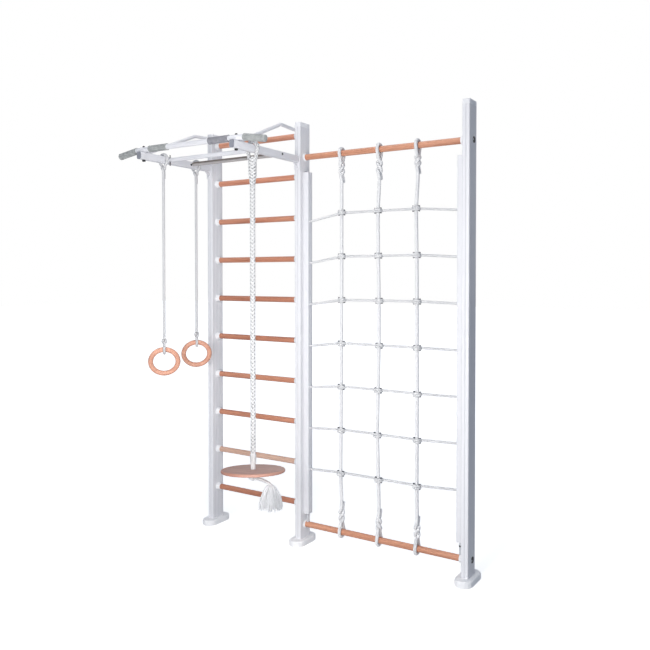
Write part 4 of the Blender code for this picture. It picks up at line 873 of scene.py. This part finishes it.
fixings += [lathe(PIN, 12, PIN_PLACE)]
fixings += [lathe(ARM_NUT, 6, (x, PULL_REACH, ARM_LEVEL - ARM_HEIGHT / 2)) for x in (LEFT_X, 0.0)]
fixings += [lathe(RAIL_NUT, 16, (x, 0, RAIL_NUT_LEVEL)) for x in rail_xs]
skin("dark_fixings", fixings, black_plastic)
skin("rail_screws", [lathe(RAIL_SCREW, 20, (x, 0, RAIL_SCREW_LEVEL)) for x in rail_xs], bright_steel)

# Foam grips
# Four sleeves of grey ribbed foam, pushed on to the pull-up bar: two open ones between the arms,
# and two on its drooping ends, closed over them. The right inner one is of a darker foam.
DROOP = math.radians(9)
INNER_START = 0.046
INNER_LENGTH = 0.130
OUTER_BEND = 0.034
OUTER_START = 0.016
OUTER_LENGTH = 0.134
FOAM_BORE = 0.0143
FOAM_RADIUS = 0.0168
RIB_HEIGHT = 0.0011
RIB_PITCH = 0.0085


def foam(name, colour):
    """Ribbed foam: fine pits all over, and a duller, lighter tone where the pits are deep."""
    made, tree, shader = finish(name, colour, 0.8)
    where = place_on(tree)
    pits = noise(tree, where, 420.0, 3.0)
    wear = noise(tree, where, 55.0, 4.0)
    share = remap(tree, reckon(tree, "MULTIPLY_ADD", pits, 0.4, wear), 0.5, 0.9, 0.0, 1.0)
    tree.links.new(tint(tree, colour, share, 0.72), shader.inputs["Base Color"])
    emboss(tree, shader, pits, 0.7, 0.0005)
    return made


def sleeve(at, along, length, closed):
    """A ribbed sleeve on the bar, of radius FOAM_RADIUS + RIB_HEIGHT * sqrt |sin(pi * run /
    RIB_PITCH)|, with a rolled edge. An open end runs back into the bore, and a closed one is domed
    over the bar's end."""
    run = np.linspace(0.004, length - 0.004, 170)
    ribs = FOAM_RADIUS + RIB_HEIGHT * np.sqrt(np.abs(np.sin(np.pi * run / RIB_PITCH)))
    lip = np.linspace(-np.pi / 2, np.pi / 2, 7)
    start = np.stack([0.0166 + 0.0018 * np.cos(lip), 0.002 + 0.002 * np.sin(lip)], 1)
    body = np.stack([ribs, run], 1)
    if closed:
        dome = np.linspace(0, np.pi / 2, 10)[1:-1]
        end = np.stack([0.0178 * np.cos(dome) ** 0.6, length - 0.004 + 0.004 * np.sin(dome)], 1)
        last = (0.0008, length)
    else:
        end = (start * (1, -1) + (0, length))[::-1][:-1]
        last = (FOAM_BORE, length - 0.0008)
    profile = np.concatenate([[(FOAM_BORE, 0.0008)], start[1:], body, end, [last]])
    return lathe(profile, 40, at, along, UP)


grip_foam = foam("grip_foam", (0.43, 0.445, 0.44))
dark_foam = foam("dark_foam", (0.31, 0.31, 0.34))
for side, x, inward, inner_foam in (("left", LEFT_X, 1, grip_foam), ("right", 0.0, -1, dark_foam)):
    at = PULL_BAR + (x + inward * INNER_START, 0, 0)
    inner = skin(side + "_inner_foam", [sleeve(at, RIGHT * inward, INNER_LENGTH, False)], inner_foam)
    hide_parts(side + "_inner_grip")
    along = np.array([-inward * math.cos(DROOP), 0, -math.sin(DROOP)])
    at = PULL_BAR + (x - inward * OUTER_BEND, 0, 0) + along * OUTER_START
    outer = skin(side + "_outer_foam", [sleeve(at, along, OUTER_LENGTH, True)], grip_foam)
    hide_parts(side + "_outer_grip")

# Gym rings
# Rings of light beech, steam-bent, glued and lacquered. They hang turned half to the wall and lean
# on their cords.
turn = np.linspace(0, 2 * np.pi, 24, endpoint=False)
profile = np.stack([RING_RADIUS + RING_SECTION / 2 * np.cos(turn), RING_SECTION / 2 * np.sin(turn)], 1)
for place, (reach, level, _) in RING_SETS.items():
    sheet = lathe(profile, 96, (LEFT_X, reach, level), np.cross(rise, flat), flat)
    ring = skin(place + "_beech_ring", [sheet], woods["ring_beech"], place + "_ring", closed=True)
    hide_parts(place + "_ring")

# Disc seat
# A turned disc of stained wood with rounded edges, bored for the rope and held up by its knot. Its
# rim is redder than its face. Painted shade makes the face darker and browner to the left, and painted
# light makes it a little brighter to the right.
SEAT_RADIUS = 0.165
SEAT_HALF = 0.008
SEAT_ROUND = 0.006
SEAT_BORE = 0.0168
RIM_TONE = (0.49, 0.262, 0.200)
RIM_FROM = 0.158
RIM_TO = 0.161
# Painted shade and light across the seat's face along X.
SIDE_SHADE_TONES = ((0.80, 0.60, 0.52), (1.04, 1.02, 1.02))
SIDE_SHADE_FROM = -0.15
SIDE_SHADE_TO = 0.10


def seat_finish():
    """Stained wood that takes the rim's tone where the distance from the seat's middle passes
    RIM_FROM to RIM_TO, times painted shade and light that change along X between the two levels set for
    them."""
    made = wooden("seat_wood", (0.42, 0.22, 0.17), (0.30, 0.15, 0.12))
    tree = made.node_tree
    base = tree.nodes["Principled BSDF"].inputs["Base Color"]
    where = place_on(tree)
    out = put(tree, "ShaderNodeVectorMath", {0: where, 1: (ROPE_X, ROPE_REACH, SEAT_LEVEL)},
              operation="DISTANCE").outputs["Value"]
    edge = remap(tree, out, RIM_FROM, RIM_TO, 0.0, 1.0)
    rimmed = mixed(tree, edge, base.links[0].from_socket, RIM_TONE)
    # Painted shade to the left and painted light to the right, across X.
    drift = remap(tree, axes_of(tree, where)[0], SIDE_SHADE_FROM, SIDE_SHADE_TO, 0.0, 1.0)
    side_shaded = mixed(tree, 1.0, rimmed, mixed(tree, drift, *SIDE_SHADE_TONES), "MULTIPLY")
    tree.links.new(side_shaded, base)
    return made


ease = np.linspace(-np.pi / 2, np.pi / 2, 13)
rim = np.stack([SEAT_RADIUS - SEAT_ROUND + SEAT_ROUND * np.cos(ease), SEAT_HALF * np.sin(ease)], 1)
profile = np.concatenate([[(SEAT_BORE, -SEAT_HALF), (0.09, -SEAT_HALF)], rim,
                          [(0.09, SEAT_HALF), (SEAT_BORE, SEAT_HALF)]])
seat = skin("turned_seat", [lathe(profile, 128, (ROPE_X, ROPE_REACH, SEAT_LEVEL), seat_axis)], seat_finish(),
            "seat", closed=True)
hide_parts("disc_seat")

# Studio
# A pale floor under a white sky. A wide soft lamp in front, a wide one above and a low one for the
# feet light the whole. A tall narrow one before the net lights the sides of the left and middle
# posts, and leaves the right post's side in shade.
AMBIENT = 0.22
AMBIENT_TONE = (0.87, 1.02, 1.30)
WHITE = (1, 1, 1)
LAMP_TONE = (1.0, 0.985, 0.955)
LAMPS = (("key", (0.95, -4.6, 1.6), (0.2, 0, 1.2), (2.4, 2.4), 74),
         ("side", (0.93, -1.5, 1.3), (-1.5, 0, 1.3), (0.3, 2.0), 21),
         ("low", (1.2, -3.0, 0.5), (0.4, 0, 0.05), (2.0, 0.3), 5),
         ("top", (0.2, -0.5, 4.8), (0.2, -0.3, 0.0), (2.5, 2.5), 42))
FLOOR_REACH = 30.0
FLOOR_LEVEL = -0.001
world = bpy.data.worlds.new("studio")
bpy.context.scene.world = world
world.use_nodes = True
sky = world.node_tree
rays = put(sky, "ShaderNodeLightPath", {}).outputs
seen = reckon(sky, "MAXIMUM", rays["Is Camera Ray"], rays["Is Glossy Ray"])
seen = reckon(sky, "MAXIMUM", seen, rays["Is Transmission Ray"])
sky.links.new(mixed(sky, seen, AMBIENT_TONE, WHITE), sky.nodes["Background"].inputs[0])
sky.links.new(remap(sky, seen, 0.0, 1.0, AMBIENT, 1.0), sky.nodes["Background"].inputs[1])

for name, at, target, size, watts in LAMPS:
    lamp = bpy.data.objects.new(name, bpy.data.lights.new(name, "AREA"))
    lamp.data.shape = "RECTANGLE"
    lamp.data.size, lamp.data.size_y = size
    lamp.data.energy = watts
    lamp.data.color = LAMP_TONE
    lamp.location = at
    lamp.visible_camera = False
    aim = np.subtract(target, at)
    lamp.rotation_euler = (math.atan2(math.hypot(aim[0], aim[1]), -aim[2]), 0, math.atan2(-aim[0], aim[1]))
    bpy.context.scene.collection.objects.link(lamp)

floor = bpy.data.objects.new("floor", bpy.data.meshes.new("floor"))
floor.data.from_pydata([(x * FLOOR_REACH, y * FLOOR_REACH, FLOOR_LEVEL) for x, y in
                        ((-1, -1), (1, -1), (1, 1), (-1, 1))], [], [(0, 1, 2, 3)])
bpy.context.scene.collection.objects.link(floor)
made, tree, shader = finish("pale_floor", (0.85, 0.85, 0.85), 0.9)
shader.inputs["Specular IOR Level"].default_value = 0.0
shader.inputs["Emission Color"].default_value = (*WHITE, 1)
away = put(tree, "ShaderNodeVectorMath", {0: place_on(tree)}, operation="LENGTH").outputs["Value"]
glow = reckon(tree, "MULTIPLY", put(tree, "ShaderNodeLightPath", {}).outputs["Is Camera Ray"],
              remap(tree, away, 1.0, 4.0, 0.66, 1.0))
tree.links.new(glow, shader.inputs["Emission Strength"])
floor.data.materials.append(made)

bpy.context.scene.view_settings.view_transform = "Standard"
